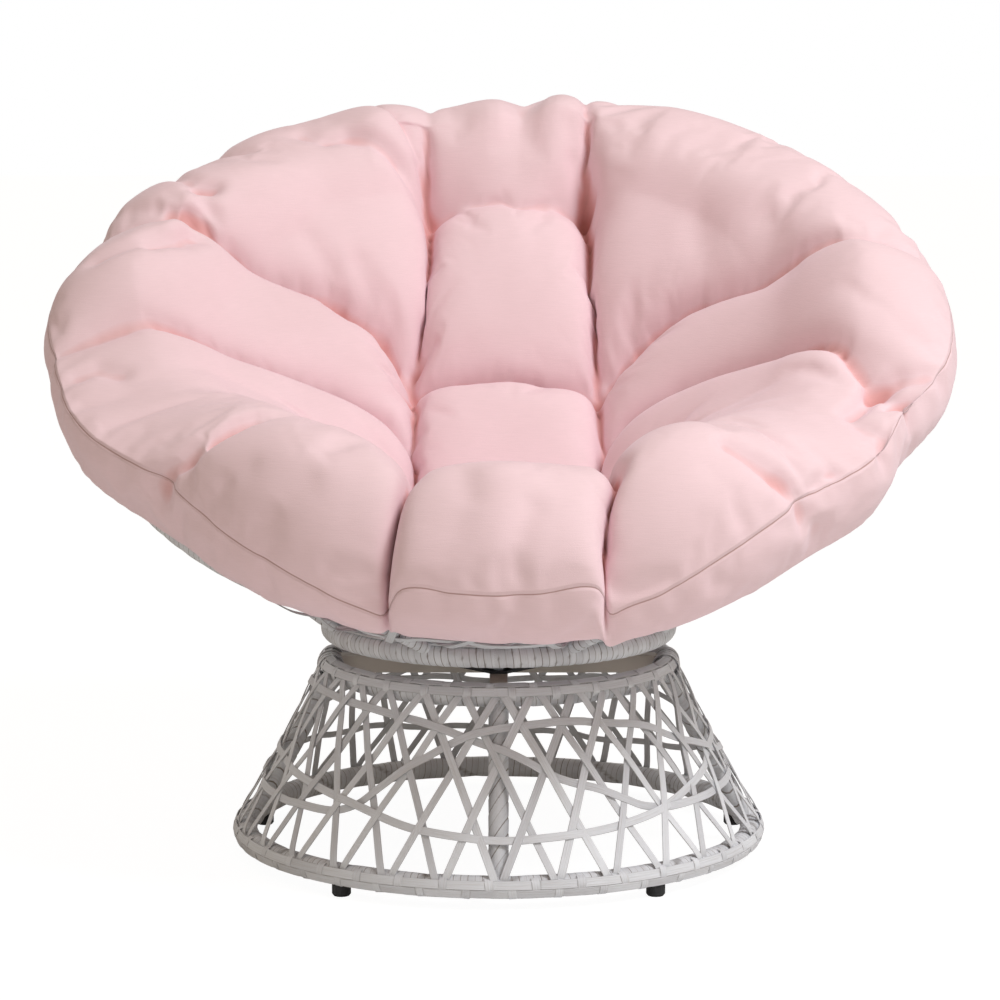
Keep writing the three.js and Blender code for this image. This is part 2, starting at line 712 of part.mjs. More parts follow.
// The share of the wall's height at which a straight strip has come that far round
function climbedShare(turned) {
  return turned * bowlRingRadius / THREE.MathUtils.lerp(bowlRimRadius, bowlRingRadius, turned);
}

// Half way between the two straight strips that would cross at this place
function tautPlace(azimuth, share, lift) {
  const turned = bowlStripTurn * turnedShare(share);
  const { normal } = wallPlace(azimuth, share, lift);
  const place = new THREE.Vector3();
  for (const direction of [-1, 1]) {
    const low = wallPlace(azimuth - direction * turned, 0, lift).place;
    const high = wallPlace(azimuth + direction * (bowlStripTurn - turned), 1, lift).place;
    place.addScaledVector(low.lerp(high, share), 0.5);
  }
  return { place, normal };
}

function bowlStrips(direction, lift) {
  const step = 2 * Math.PI / bowlStripCount;
  const strips = [];
  for (let k = 0; k < bowlStripCount; k += 1) {
    const low = k * step + direction * stripEndAside / bowlRingRadius;
    const high = k * step + direction * (bowlStripTurn - stripEndAside / bowlRimRadius);
    const stations = [];
    for (let s = 0; s <= bowlStripSteps; s += 1) {
      const turned = s / bowlStripSteps;
      stations.push(tautPlace(THREE.MathUtils.lerp(low, high, turned), climbedShare(turned), lift));
    }
    strips.push(strip(stations, stripWidth, stripThickness, false));
  }
  return strips;
}

// A flat border band that lies along one of the bowl's rings on the side of the weave
function wallBand(share, lift, segments) {
  const stations = [];
  for (let s = 0; s < segments; s += 1) {
    stations.push(wallPlace(s / segments * 2 * Math.PI, share, lift));
  }
  return strip(stations, borderWidth, stripThickness, true);
}

function buildBowlWeave() {
  const ringBand = wallBand(0, bowlInnerLift - stripThickness / 2, smallRingSegments);
  const rimBand = wallBand(1, bowlOuterLift, rimSegments);
  addPiece('bowl_weave_inner', joined([ringBand, ...bowlStrips(1, bowlInnerLift)]), resinWicker);
  addPiece('bowl_weave_outer', joined([rimBand, ...bowlStrips(-1, bowlOuterLift)]), resinWicker);
}

function buildBowlHoops() {
  const names = ['bowl_hoop_lower', 'bowl_hoop_upper'];
  bowlHoopShares.forEach((share, k) => {
    const reach = THREE.MathUtils.lerp(bowlRingRadius, bowlRimRadius, share);
    const sagitta = reach * (1 - Math.cos(Math.PI / bowlHoopSteps));
    const lift = bowlOuterLift + (stripThickness + hoopThickness) / 2 + sagitta + seatGap;
    const stations = [];
    for (let s = 0; s < bowlHoopSteps; s += 1) {
      stations.push(tautPlace(s / bowlHoopSteps * 2 * Math.PI, share, lift));
    }
    addPiece(names[k], strip(stations, hoopWidth, hoopThickness, true), resinWicker);
  });
}

// Cushion

const creases = [leftColumnShares, rightColumnShares, ...sideCreaseShares, ...crossCreaseShares];

function creaseFall(distance, halfWidth) {
  return 1 / (1 + (distance / halfWidth) ** 2);
}

// How far the creases together pull a place in, from 0 on a full lobe to 1 in a crease
function creasePull(x, y, halfWidth) {
  const point = new THREE.Vector3(x, y, 0);
  const nearest = new THREE.Vector3();
  let free = 1;
  for (const crease of creases) {
    let pull = 0;
    for (let i = 0; i + 1 < crease.length; i += 1) {
      const [from, to] = [crease[i], crease[i + 1]];
      const line = new THREE.Line3(
        new THREE.Vector3(from[0], from[1], 0).multiplyScalar(cushionOutline),
        new THREE.Vector3(to[0], to[1], 0).multiplyScalar(cushionOutline),
      );
      const share = line.closestPointToPointParameter(point, true);
      line.at(share, nearest);
      const hold = THREE.MathUtils.lerp(from[2], to[2], share);
      pull = Math.max(pull, hold * creaseFall(nearest.distanceTo(point), halfWidth));
    }
    free *= 1 - pull;
  }
  return 1 - free;
}

// A place given in the rim's own plane and its height over that plane
function rimPlace(x, y, height) {
  const place = rimCentre.clone().addScaledVector(slopeUp, y).addScaledVector(rimNormal, height);
  place.x += x;
  return place;
}

// The bottom ring's middle as the rim sees it
const ringMiddle = new THREE.Vector3(0, 0, bowlRingHeight).sub(rimCentre);
const ringMiddleUp = ringMiddle.dot(slopeUp);
const ringMiddleHeight = ringMiddle.dot(rimNormal);

// Height over the rim's plane of the straight wall, carried on past both rings
function wallHeight(x, y) {
  let [low, high] = wallReachShares;
  let up = 0;
  for (let i = 0; i < wallHalvings; i += 1) {
    const share = (low + high) / 2;
    const across = x / THREE.MathUtils.lerp(bowlRingRadius, bowlRimRadius, share);
    up = (y - (1 - share) * ringMiddleUp)
      / THREE.MathUtils.lerp(bowlRingRadius * slopeUp.y, bowlRimRadius, share);
    if (Math.hypot(across, up) > 1) {
      low = share;
    } else {
      high = share;
    }
  }
  return (1 - low) * (ringMiddleHeight + up * bowlRingRadius * rimNormal.y);
}

// The underside rises from the bars along the wall, then goes over the rim's tube
function undersideColumn(azimuth) {
  const reach = bowlTubeRadius + cushionGap;
  const column = [];
  for (let s = 0; s < cushionUnderSteps; s += 1) {
    const { place } = wallPlace(azimuth, s / cushionUnderSteps, -reach);
    place.z = Math.max(place.z, cushionLowest);
    column.push(place);
  }
  const { normal } = wallPlace(azimuth, 1, 0);
  const firstTurn = Math.asin(THREE.MathUtils.clamp(-normal.dot(rimNormal), -1, 1));
  const turnStep = (Math.PI / 2 - firstTurn) / rimHugSteps;
  const hugRadius = reach / Math.cos(turnStep / 2);
  for (let s = 0; s <= rimHugSteps; s += 1) {
    const turn = Math.PI - firstTurn - s * turnStep;
    column.push(edgePlace(azimuth, bowlRimRadius + hugRadius * Math.cos(turn), hugRadius * Math.sin(turn)));
  }
  column.push(edgePlace(azimuth, bowlRimRadius + 3 * bowlTubeRadius, cushionRimLift));
  return column;
}

function edgePlace(azimuth, radius, height) {
  return rimPlace(radius * Math.sin(azimuth), -radius * Math.cos(azimuth), height);
}

// Radius and height of the top's outer part: the boxed edge and the crown
function edgeProfile(outline, crownHeight) {
  const points = [
    [outline, cushionEdgeHeight],
    [outline + cushionBoxBulge, (cushionEdgeHeight + cushionSeamHeight) / 2],
    [outline, cushionSeamHeight],
  ];
  const crownRadius = cushionCrownRadius * outline / cushionOutline;
  for (let s = 1; s <= cushionCrownSteps; s += 1) {
    const turn = s / cushionCrownSteps * Math.PI / 2;
    points.push([
      crownRadius + (outline - crownRadius) * Math.cos(turn),
      cushionSeamHeight + (crownHeight - cushionSeamHeight) * Math.sin(turn),
    ]);
  }
  return points;
}

// Radii of the rings of the dished seat, from the crown inwards
function dishRadii(crownHeight) {
  const startAngle = Math.acos((dishCentreHeight - crownHeight) / dishRadius);
  const radii = [];
  for (let s = 1; s < cushionTopSteps; s += 1) {
    radii.push(dishRadius * Math.sin(startAngle * (1 - s / cushionTopSteps)));
  }
  return radii;
}

// The full seat is a sphere in front and follows the wall behind, and the creases leave it some padding
function seatHeight(x, y) {
  const wall = wallHeight(x, y);
  const sphere = dishCentreHeight - Math.sqrt(dishRadius ** 2 - x ** 2 - y ** 2);
  const padded = wall + seatLoft;
  const full = (sphere + padded + Math.hypot(sphere - padded, seatBlend)) / 2;
  const level = (cushionLowest - rimCentre.z - y * slopeUp.z) / rimNormal.z;
  const under = Math.max(level, wall + (bowlTubeRadius + cushionGap) / slopeUp.y);
  const sunk = full - creaseDepth * creasePull(x, y, creaseHalfWidth);
  return Math.max(sunk, under + leastPadding);
}

// The rings of the dish close in on the middle of a lobe, off the rim's own centre
function dishPlace(azimuth, radius) {
  const shift = 1 - radius / cushionCrownRadius;
  const x = radius * Math.sin(azimuth) + shift * lobeCentreShares[0] * cushionOutline;
  const y = -radius * Math.cos(azimuth) + shift * lobeCentreShares[1] * cushionOutline;
  return rimPlace(x, y, seatHeight(x, y));
}

function buildCushion() {
  const rows = [];
  for (let j = 0; j < cushionSpokes; j += 1) {
    const azimuth = j / cushionSpokes * 2 * Math.PI;
    const acrossShare = Math.sin(azimuth);
    const upShare = -Math.cos(azimuth);
    const outlineHere = cushionOutline * roundTable(outlineShares, azimuth);
    const crown = cushionCrownHeight * roundTable(crownShares, azimuth);
    const pinch = rimPinch * creasePull(outlineHere * acrossShare, outlineHere * upShare, rimPinchHalfWidth);
    const column = undersideColumn(azimuth);
    edgeProfile(outlineHere - pinch, crown).forEach(([radius, height], i) => {
      const pull = i < boxRows ? 0 : creasePull(radius * acrossShare, radius * upShare, creaseHalfWidth);
      column.push(edgePlace(azimuth, radius, height - edgeCreaseDepth * pull));
    });
    dishRadii(crown).forEach((radius) => column.push(dishPlace(azimuth, radius)));
    rows.push(column);
  }
  const corners = rows.flat();
  const length = rows[0].length;
  const underPole = corners.push(new THREE.Vector3(0, 0, cushionLowest)) - 1;
  const topPole = corners.push(dishPlace(0, 0)) - 1;
  const index = [];
  for (let j = 0; j < cushionSpokes; j += 1) {
    const here = j * length;
    const next = ((j + 1) % cushionSpokes) * length;
    index.push(underPole, here, next);
    for (let i = 0; i + 1 < length; i += 1) {
      index.push(here + i, here + i + 1, next + i + 1, here + i, next + i + 1, next + i);
    }
    index.push(here + length - 1, topPole, next + length - 1);
  }
  addPiece('cushion', closedMesh(corners, index), pinkCloth);
}

buildBaseRings();
buildPosts();
buildFeet();
buildCross(['base_bar_across', 'base_bar_front', 'base_bar_rear'], baseTopRingHeight,
  baseTopRingSocket, baseTopRingRadius);
buildBaseWeave();
buildBaseHoops();
buildSwivel();
buildBolts();
buildCross(['bowl_bar_across', 'bowl_bar_front', 'bowl_bar_rear'], bowlRingHeight,
  bowlRingSocket, bowlRingRadius);
buildBowlRings();
buildRibs();
buildBowlWeave();
buildBowlHoops();
buildCushion();

const box = new THREE.Box3().setFromObject(chair, true);
chair.position.y = -(box.min.y + box.max.y) / 2;

export default chair;
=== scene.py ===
import json
import math
import random

import bpy
import numpy as np
from bpy.props import FloatProperty, IntProperty, PointerProperty
from bpy.types import NodeSocket, Operator, Panel, PropertyGroup
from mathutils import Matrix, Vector

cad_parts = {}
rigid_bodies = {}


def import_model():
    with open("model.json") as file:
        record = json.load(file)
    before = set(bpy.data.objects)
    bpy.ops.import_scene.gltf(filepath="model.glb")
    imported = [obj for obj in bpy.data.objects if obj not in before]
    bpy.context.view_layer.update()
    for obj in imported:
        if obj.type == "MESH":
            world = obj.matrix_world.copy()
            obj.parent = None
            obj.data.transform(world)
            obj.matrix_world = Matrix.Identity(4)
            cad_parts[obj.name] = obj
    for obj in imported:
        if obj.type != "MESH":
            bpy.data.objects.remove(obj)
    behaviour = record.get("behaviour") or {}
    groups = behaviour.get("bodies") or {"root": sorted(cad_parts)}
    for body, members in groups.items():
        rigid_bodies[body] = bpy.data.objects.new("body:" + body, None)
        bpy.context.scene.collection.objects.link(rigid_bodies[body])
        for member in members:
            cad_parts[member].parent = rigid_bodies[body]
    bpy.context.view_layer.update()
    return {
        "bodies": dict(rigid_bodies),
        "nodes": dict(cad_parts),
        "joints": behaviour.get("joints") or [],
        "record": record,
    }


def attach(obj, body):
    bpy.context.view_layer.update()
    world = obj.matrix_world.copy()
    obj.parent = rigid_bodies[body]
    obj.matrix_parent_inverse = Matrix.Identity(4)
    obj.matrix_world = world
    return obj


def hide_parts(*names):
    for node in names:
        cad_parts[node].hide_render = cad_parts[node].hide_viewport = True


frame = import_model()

MM = 0.001
TURN = 2 * math.pi
AXIS_Y = next(j for j in frame["joints"] if j["name"] == "swivel")["pos_m"][1]

bl_info = {
    "name": "Papasan chair",
    "version": (1, 0, 0),
    "blender": (4, 5, 0),
    "location": "View3D > Sidebar > Papasan",
    "description": "Dresses the packed papasan chair: wrapped rings, woven strip, hoops and tufted cushion",
    "category": "Object",
}


# Sizes that a user would change

def length(name, description, value):
    return FloatProperty(name=name, description=description, default=value, min=0.0,
                         subtype="DISTANCE", unit="LENGTH")


class BaseSizes(PropertyGroup):
    ring_radius: length("Bottom ring radius", "Centre line of the bottom ring's tube", 0.279)
    ring_tube: length("Bottom tube radius", "Radius of the bottom ring's wrapped tube", 0.012)
    ring_height: length("Bottom ring height", "Height of the bottom ring's centre line", 0.0225)
    top_radius: length("Top ring radius", "Centre line of the top ring's tube", 0.1835)
    top_tube: length("Top tube radius", "Radius of the top ring's wrapped tube", 0.0115)
    top_height: length("Top ring height", "Height of the top ring's centre line", 0.203)
    strip_width: length("Strip width", "Width of a flat resin strip", 0.0086)
    strip_thickness: length("Strip thickness", "Thickness of a flat resin strip", 0.0014)
    strip_count: IntProperty(name="Strips", description="Strips that lean each way round the base",
                             default=30, min=6)


class CushionSizes(PropertyGroup):
    loft: length("Loft", "Thickness of the filled cushion over the bowl", 0.142)
    roll: length("Front roll", "How far the thick roll on each side in front stands up", 0.044)
    crease_depth: length("Crease depth", "How deep the sewn creases may pull in", 0.092)
    swell: length("Swell", "How far the cloth may move as it fills", 0.020)
    edge_swell: length("Edge swell", "How far the cloth may move at the boxed edge", 0.009)
    pressure: FloatProperty(name="Fill pressure", description="Pressure that fills the cloth", default=4.0)


def mm(metres):
    """A length property in mm, without the noise of its single precision."""
    return round(metres / MM, 3)


def linear(hexcode):
    """sRGB hex to linear RGBA."""
    parts = [int(hexcode[i:i + 2], 16) / 255 for i in (1, 3, 5)]
    return tuple(p / 12.92 if p <= 0.04045 else ((p + 0.055) / 1.055) ** 2.4 for p in parts) + (1.0,)


# Small tools

def deselect():
    if bpy.context.mode != "OBJECT":
        bpy.ops.object.mode_set(mode="OBJECT")
    bpy.ops.object.select_all(action="DESELECT")


def activate(piece):
    deselect()
    piece.select_set(True)
    bpy.context.view_layer.objects.active = piece


def read_vectors(rows, name):
    """One vector of each row of a mesh, such as the place of each vertex."""
    flat = np.empty(len(rows) * 3)
    rows.foreach_get(name, flat)
    return flat.reshape(-1, 3)


def points_of(piece):
    return read_vectors(piece.data.vertices, "co")


def normals_of(piece):
    return read_vectors(piece.data.vertex_normals, "vector")


def set_points(piece, points):
    piece.data.vertices.foreach_set("co", np.asarray(points, float).ravel())
    piece.data.update()


def apply_modifiers(piece):
    activate(piece)
    for modifier in list(piece.modifiers):
        bpy.ops.object.modifier_apply(modifier=modifier.name)


def eased(rows, at):
    """A closed table of values at azimuths in degrees, read with a smooth curve at other azimuths."""
    a, v = np.array(sorted(rows), float).T
    a = np.concatenate([a[-3:] - 360, a, a[:3] + 360])
    v = np.concatenate([v[-3:], v, v[:3]])
    slope = np.gradient(v, a)
    x = (np.asarray(at, float) + 180) % 360 - 180
    i = np.clip(np.searchsorted(a, x, side="right") - 1, 0, len(a) - 2)
    h = a[i + 1] - a[i]
    t = (x - a[i]) / h
    return (v[i] * (2 * t**3 - 3 * t**2 + 1) + slope[i] * h * (t**3 - 2 * t**2 + t)
            + v[i + 1] * (3 * t**2 - 2 * t**3) + slope[i + 1] * h * (t**3 - t**2))


def smooth(x, low, high):
    t = np.clip((x - low) / (high - low), 0, 1)
    return t * t * (3 - 2 * t)


def bell(x, half):
    return np.exp(-(x / half) ** 2)


def unit(vectors):
    return vectors / np.linalg.norm(vectors, axis=-1)[..., None]


def scatter(number, seed):
    """A value between 0 and 1 for each whole number, the same each time."""
    return np.modf(np.abs(np.sin(number * 12.9898 + seed) * 43758.5453))[0]


def matched(*values):
    return np.broadcast_arrays(*(np.asarray(value, float) for value in values))


def mix(first, second, share):
    return first + (second - first) * np.asarray(share)[..., None]


# The rim's own frame: x to the right, y up the slope, w along the rim's normal, in mm

outer = np.multiply.outer
TILT = math.radians(28)
RIGHT = np.array([1.0, 0.0, 0.0])
SLOPE_UP = np.array([0.0, math.cos(TILT), math.sin(TILT)])
RIM_NORMAL = np.array([0.0, -math.sin(TILT), math.cos(TILT)])
RIM_RADIUS = 440.0
RIM_TUBE = 11.5
RIM_MIDDLE = np.array([0.0, 111.5, 500.0])
RING_HEIGHT = 244.6
RING_RADIUS = 183.5
# The cushion's lowest places: the half height of the bars, the gap over them in the CAD and a little more
RESTS_AT = RING_HEIGHT + 9.5 + 0.3 + 0.4
SHIFT = np.array([0.0, AXIS_Y / MM, 0.0])


def in_rim(points):
    """Points in metres as x, y and w of the rim's frame."""
    spot = points / MM - SHIFT - RIM_MIDDLE
    return spot[:, 0], spot @ SLOPE_UP, spot @ RIM_NORMAL


def put_in_rim(piece, x, y, w):
    """Moves a piece's points to places in the rim's frame, none of them lower than the bars allow."""
    places = RIM_MIDDLE + SHIFT + outer(x, RIGHT) + outer(y, SLOPE_UP) + outer(w, RIM_NORMAL)
    places[:, 2] = np.maximum(places[:, 2], RESTS_AT)
    set_points(piece, places * MM)


def rim_out(azimuth):
    """Direction from the rim's middle to its tube."""
    return outer(np.sin(azimuth), RIGHT) - outer(np.cos(azimuth), SLOPE_UP)


# Sizes of the wickerwork in mm: distance between the turns of a winding, radii, and how uneven a winding is
BASE_PITCH = 7.4
RING_PITCH = 7.2
RIM_PITCH = 8.0
POST_PITCH = 17.0
POST_RADIUS = 10.6
RIB_RADIUS = 7.0
STOCK_RADIUS = 4
GROOVE_HALF = 0.75
TURN_UNEVEN = 0.22
TURN_TILT = 0.25
# How deep a strip is tucked in at the upper ring
HIGH_TUCK = 4.5
BOWL_STRIPS = 26
# How many strips' spacing a strip moves round on its way up
SPAN = 2


# Stock for wickerwork: modelled once and straight, then copied and laid along routes

def squared(turn_cosine):
    """Flattens a round section's coordinate towards that of a flat strip with soft corners."""
    return np.sign(turn_cosine) * np.abs(turn_cosine) ** 0.28


def strip_stock(stations, sides=8):
    """A straight closed bar cut evenly along its length."""
    deselect()
    bpy.ops.mesh.primitive_cylinder_add(vertices=sides, radius=1, depth=2, end_fill_type="NGON")
    bar = bpy.context.active_object
    bpy.ops.object.mode_set(mode="EDIT")
    bpy.ops.mesh.select_mode(type="EDGE")
    bpy.ops.mesh.select_all(action="DESELECT")
    bpy.ops.object.mode_set(mode="OBJECT")
    for edge in bar.data.edges:
        first, second = (bar.data.vertices[i].co for i in edge.vertices)
        edge.select = abs(first.z - second.z) > 1
    bpy.ops.object.mode_set(mode="EDIT")
    bpy.ops.mesh.subdivide(number_cuts=stations - 2)
    bpy.ops.object.mode_set(mode="OBJECT")
    bpy.ops.object.shade_smooth_by_angle(angle=math.radians(50))
    return bar


def loop_stock(stations, sides=8):
    """A closed ring with a section of that many sides, cut evenly round its length."""
    deselect()
    bpy.ops.mesh.primitive_torus_add(major_segments=stations, minor_segments=sides,
                                     major_radius=STOCK_RADIUS, minor_radius=1)
    ring = bpy.context.active_object
    bpy.ops.object.shade_smooth_by_angle(angle=math.radians(50))
    return ring


def read_stock(points, closed):
    """Share of the length and the two section coordinates of each point of a straight bar or a ring."""
    if not closed:
        return (points[:, 2] + 1) / 2, points[:, 0], points[:, 1]
    share = (np.arctan2(points[:, 1], points[:, 0]) / TURN) % 1
    return share, points[:, 2], np.hypot(points[:, 0], points[:, 1]) - STOCK_RADIUS


def set_attributes(piece, **named):
    for name, values in named.items():
        attribute = piece.data.attributes.get(name) or piece.data.attributes.new(name, "FLOAT", "POINT")
        values = np.array(np.broadcast_to(values, len(attribute.data)), np.float32)
        attribute.data.foreach_set("value", values)


def copied(stock, name):
    piece = stock.copy()
    piece.data = stock.data.copy()
    piece.name = piece.data.name = name
    bpy.context.scene.collection.objects.link(piece)
    return piece


def discard(*pieces):
    for piece in pieces:
        bpy.data.objects.remove(piece, do_unlink=True)


def tangent(route, share):
    return unit(route(share + 1e-3)[0] - route(share - 1e-3)[0])


def put(piece, places):
    """Moves a piece's points to places in mm from the swivel's axis."""
    set_points(piece, (places + SHIFT) * MM)


def lay_strip(stock, route, width, thickness, tone, closed=False):
    """A copy of the stock as a flat strip on a route, which gives centres and outward normals."""
    piece = copied(stock, "strip")
    share, across, out = read_stock(points_of(piece), closed)
    across, out = squared(across), squared(out)
    centre, normal = route(share)
    along = tangent(route, share)
    side = unit(np.cross(normal, along))
    normal = np.cross(along, side)
    put(piece, centre + side * (across * width / 2)[:, None] + normal * (out * thickness / 2)[:, None])
    length = np.linalg.norm(route(np.array([0.5]))[0] - route(np.array([0.45]))[0]) * 20
    set_attributes(piece, along=share * length * MM, across=across, tone=tone, groove=0, wind=0.5)
    return piece


def lay_wrap(stock, route, radius, pitch, seed, closed, bulge=0.75, slant=0.2):
    """A copy of the stock as a rod or ring wound with strip: flat turns with a groove between each two."""
    piece = copied(stock, "wrap")
    share, across, out = read_stock(points_of(piece), closed)
    centre, normal = route(share)
    side = np.cross(normal, tangent(route, share))
    turn = np.arctan2(across, out)
    length = np.linalg.norm(np.diff(route(np.linspace(0, 1, 65))[0], axis=0), axis=1).sum()
    count = share * round(length / pitch) + slant * np.sin(turn)
    phase = count % 1
    groove = bell(np.minimum(phase, 1 - phase) * pitch, GROOVE_HALF)
    tone = scatter(np.floor(count), seed * 78.233)
    lift = radius - bulge * groove + TURN_UNEVEN * (tone - 0.5) + TURN_TILT * (phase - 0.5)
    put(piece, centre + side * (np.sin(turn) * lift)[:, None] + normal * (np.cos(turn) * lift)[:, None])
    # groove also darkens the colour between turns as painted shade
    set_attributes(piece, along=turn * radius * MM, across=(phase - 0.5) * 2, wind=count, tone=tone,
                   groove=groove)
    return piece


def finish_wicker(pieces, name, node, body):
    """Joins strips and windings into one piece that stands in for a node of the CAD."""
    deselect()
    for piece in pieces:
        piece.select_set(True)
    bpy.context.view_layer.objects.active = pieces[0]
    if len(pieces) > 1:
        bpy.ops.object.join()
    whole = bpy.context.active_object
    whole.name = whole.data.name = name
    coat(whole, wicker_material())
    bpy.ops.object.shade_smooth_by_angle(angle=math.radians(34))
    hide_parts(node)
    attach(whole, body)


# Places round the swivel axis in mm: azimuth 0 is the front, and it grows to the right

def around(radius, azimuth, height):
    azimuth = np.asarray(azimuth, float)
    radius, height = np.broadcast_to(radius, azimuth.shape), np.broadcast_to(height, azimuth.shape)
    return np.stack([radius * np.sin(azimuth), -radius * np.cos(azimuth), height], axis=-1)


class Cone:
    """The base's weave lies on the cone that touches both rings. A ring is its radius, height and tube."""

    def __init__(self, sizes):
        self.low = [v / MM for v in (sizes.ring_radius, sizes.ring_height, sizes.ring_tube)]
        self.top = [v / MM for v in (sizes.top_radius, sizes.top_height, sizes.top_tube)]
        self.radii = self.low[0], self.top[0]
        self.lean = math.atan2(self.low[0] - self.top[0], self.top[1] - self.low[1])

    def place(self, azimuth, share, lift):
        azimuth, share, lift = matched(azimuth, share, lift)
        radius, height, tube = (low + (top - low) * share for low, top in zip(self.low, self.top))
        radius = radius + (tube + lift) * math.cos(self.lean)
        height = height + (tube + lift) * math.sin(self.lean)
        return around(radius, azimuth, height), around(math.cos(self.lean), azimuth, math.sin(self.lean))


class Wall:
    """The bowl's weave lies on the straight wall between its level ring and its tilted rim."""

    radii = RING_RADIUS, RIM_RADIUS

    def place(self, azimuth, share, lift):
        azimuth, share, lift = matched(azimuth, share, lift)
        low = around(RING_RADIUS, azimuth, RING_HEIGHT)
        high = RIM_MIDDLE + RIM_RADIUS * rim_out(azimuth)
        along_low = RING_RADIUS * np.stack([np.cos(azimuth), np.sin(azimuth), 0 * azimuth], axis=-1)
        along_high = RIM_RADIUS * (outer(np.cos(azimuth), RIGHT) + outer(np.sin(azimuth), SLOPE_UP))
        normal = unit(np.cross(mix(along_low, along_high, share), high - low))
        return mix(low, high, share) + normal * (lift + RIM_TUBE)[..., None], normal


def taut_route(surface, start, turn, weave, sway, ends, tuck):
    """A strip pulled straight between the rings, under and over its neighbours, and tucked in at its ends."""
    low_radius, high_radius = surface.radii
    low, low_normal = surface.place(start, 0, 0)
    high, high_normal = surface.place(start + turn, 1, 0)
    side = unit(np.cross(low_normal, high - low))
    back = ends[0] / np.linalg.norm(high - low)
    inset, rise, stand = tuck

    def route(s):
        t = back + (ends[1] - back) * s
        turned = t * high_radius / (low_radius + (high_radius - low_radius) * t)
        normal = unit(mix(low_normal, high_normal, turned))
        lift = weave(turned) + stand - (inset + stand) * (1 - smooth(t, *rise))
        lift -= HIGH_TUCK * smooth(t, 0.955, 1.0)
        bow = sway * np.sin(math.pi * t)
        return mix(low, high, t) + normal * lift[:, None] + side * bow[:, None], normal

    return route


def lattice(surface, count, flat, direction, seed, ends, tuck):
    """All the strips of one direction.

    ends: where a strip starts, in mm from the low ring, and the share of the way up where it stops.
    tuck: how deep it lies at the low ring, over which shares it comes out, and how far it then stands off.
    """
    chance = random.Random(seed)
    stock = strip_stock(26)
    step = TURN / count
    width, thickness = flat
    swing = thickness * 0.75

    def weave(turned):
        return direction * swing * np.cos(TURN * SPAN * turned - math.pi)

    strips = []
    for k in range(count):
        start = k * step + direction * 0.012 + chance.uniform(-0.010, 0.010)
        turn = direction * (SPAN * step - 0.02) + chance.uniform(-0.018, 0.018)
        own_width = width * chance.uniform(0.90, 1.04)
        route = taut_route(surface, start, turn, weave, chance.uniform(-1.2, 1.2), ends, tuck)
        strips.append(lay_strip(stock, route, own_width, thickness, chance.random()))
    discard(stock)
    return strips


def lay_layers(surface, body, count, flat, seed, ends, tuck):
    """Two layers of strips that lean opposite ways."""
    for direction, layer in ((1, "_weave_inner"), (-1, "_weave_outer")):
        strips = lattice(surface, count, flat, direction, seed + direction, ends, tuck)
        finish_wicker(strips, "woven_" + body + layer, body + layer, body)


def hoop_route(surface, rows, dip, lift, swing, waves, phase, tuck=0.0):
    """A strip that wanders round the lattice, over some strips and under others."""
    low_radius, high_radius = surface.radii

    def route(s):
        azimuth = s * TURN
        share = eased(rows, np.degrees(azimuth))
        turned = dip * share * high_radius / (low_radius + (high_radius - low_radius) * share)
        both = [mix(surface.place(azimuth - side * turned, 0, 0)[0],
                    surface.place(azimuth + side * (dip - turned), 1, 0)[0], share) for side in (-1, 1)]
        _, normal = surface.place(azimuth, share, 0)
        wave = swing * np.tanh(2.2 * np.sin(waves * azimuth + phase)) / math.tanh(2.2)
        rise = lift + wave - tuck * (1 - smooth(share, 0, 0.42))
        return (both[0] + both[1]) / 2 + normal * rise[:, None], normal

    return route


# Where the base's hoops run: azimuth in degrees and share of the way from the bottom ring to the top one
HOOPS = {
    "base_hoop_high": [
        (-110, .80), (-83, .87), (-50, .87), (-20, .81), (-7, .74), (3, .67), (15, .54), (25, .46), (36, .35),
        (59, .31), (75, .33), (90, .38), (110, .5), (140, .66), (160, .64), (177, .60), (-160, .64),
        (-140, .68),
    ],
    "base_hoop_crossing": [
        (-77, .28), (-56, .28), (-37, .34), (-23, .59), (-11, .74), (0, .80), (25, .82), (45, .75), (66, .58),
        (80, .49), (100, .40), (123, .26), (147, .20), (175, .23), (-166, .26), (-145, .31), (-110, .30),
    ],
    "base_hoop_low": [
        (-83, .48), (-52, .40), (-37, .35), (-19, .26), (0, .22), (20, .24), (40, .30), (60, .42), (90, .60),
        (120, .72), (150, .75), (180, .72), (-150, .70), (-120, .60),
    ],
}


def tube_route(radius, height):
    return lambda s: (around(radius, s * TURN, height), around(1, s * TURN, 0))


def rim_route(s):
    out = rim_out(s * TURN)
    return RIM_MIDDLE + RIM_RADIUS * out, out


def rod_route(surface, azimuth, shares, lifts):
    """Straight up the surface from one share of the way between the rings to another."""
    (low, out), (high, _) = (surface.place(azimuth, share, lift) for share, lift in zip(shares, lifts))
    return lambda s: (mix(low, high, s), np.broadcast_to(out, (len(s), 3)))


def on_section(ring, lift, section, azimuth):
    """A place over a level ring's tube at an angle of its section, 0 outwards and 90 degrees up."""
    radius, height, tube = ring
    normal = around(np.cos(section), azimuth, np.sin(section))
    return around(radius, azimuth, height) + normal * np.asarray(tube + lift)[..., None], normal


def border_row(stock, ring, section, count, shift, flat, seed):
    """A flat strip along a ring that dips under one turn of the winding in every few."""
    def beside(share):
        place_in = (share * count + shift) % 1
        return np.minimum(place_in, 1 - place_in)

    def route(s):
        return on_section(ring, 1.5 - 1.3 * bell(beside(s), 0.10), section, s * TURN)

    row = lay_strip(stock, route, flat[0] * 1.12, flat[1] * 1.05, 0.5, closed=True)
    share = read_stock(points_of(stock), True)[0]
    # Where the row dips under a turn, groove paints shade on it
    set_attributes(row, tone=scatter(np.floor(share * count + shift), seed),
                   groove=0.9 * bell(beside(share) - 0.085, 0.022))
    return row


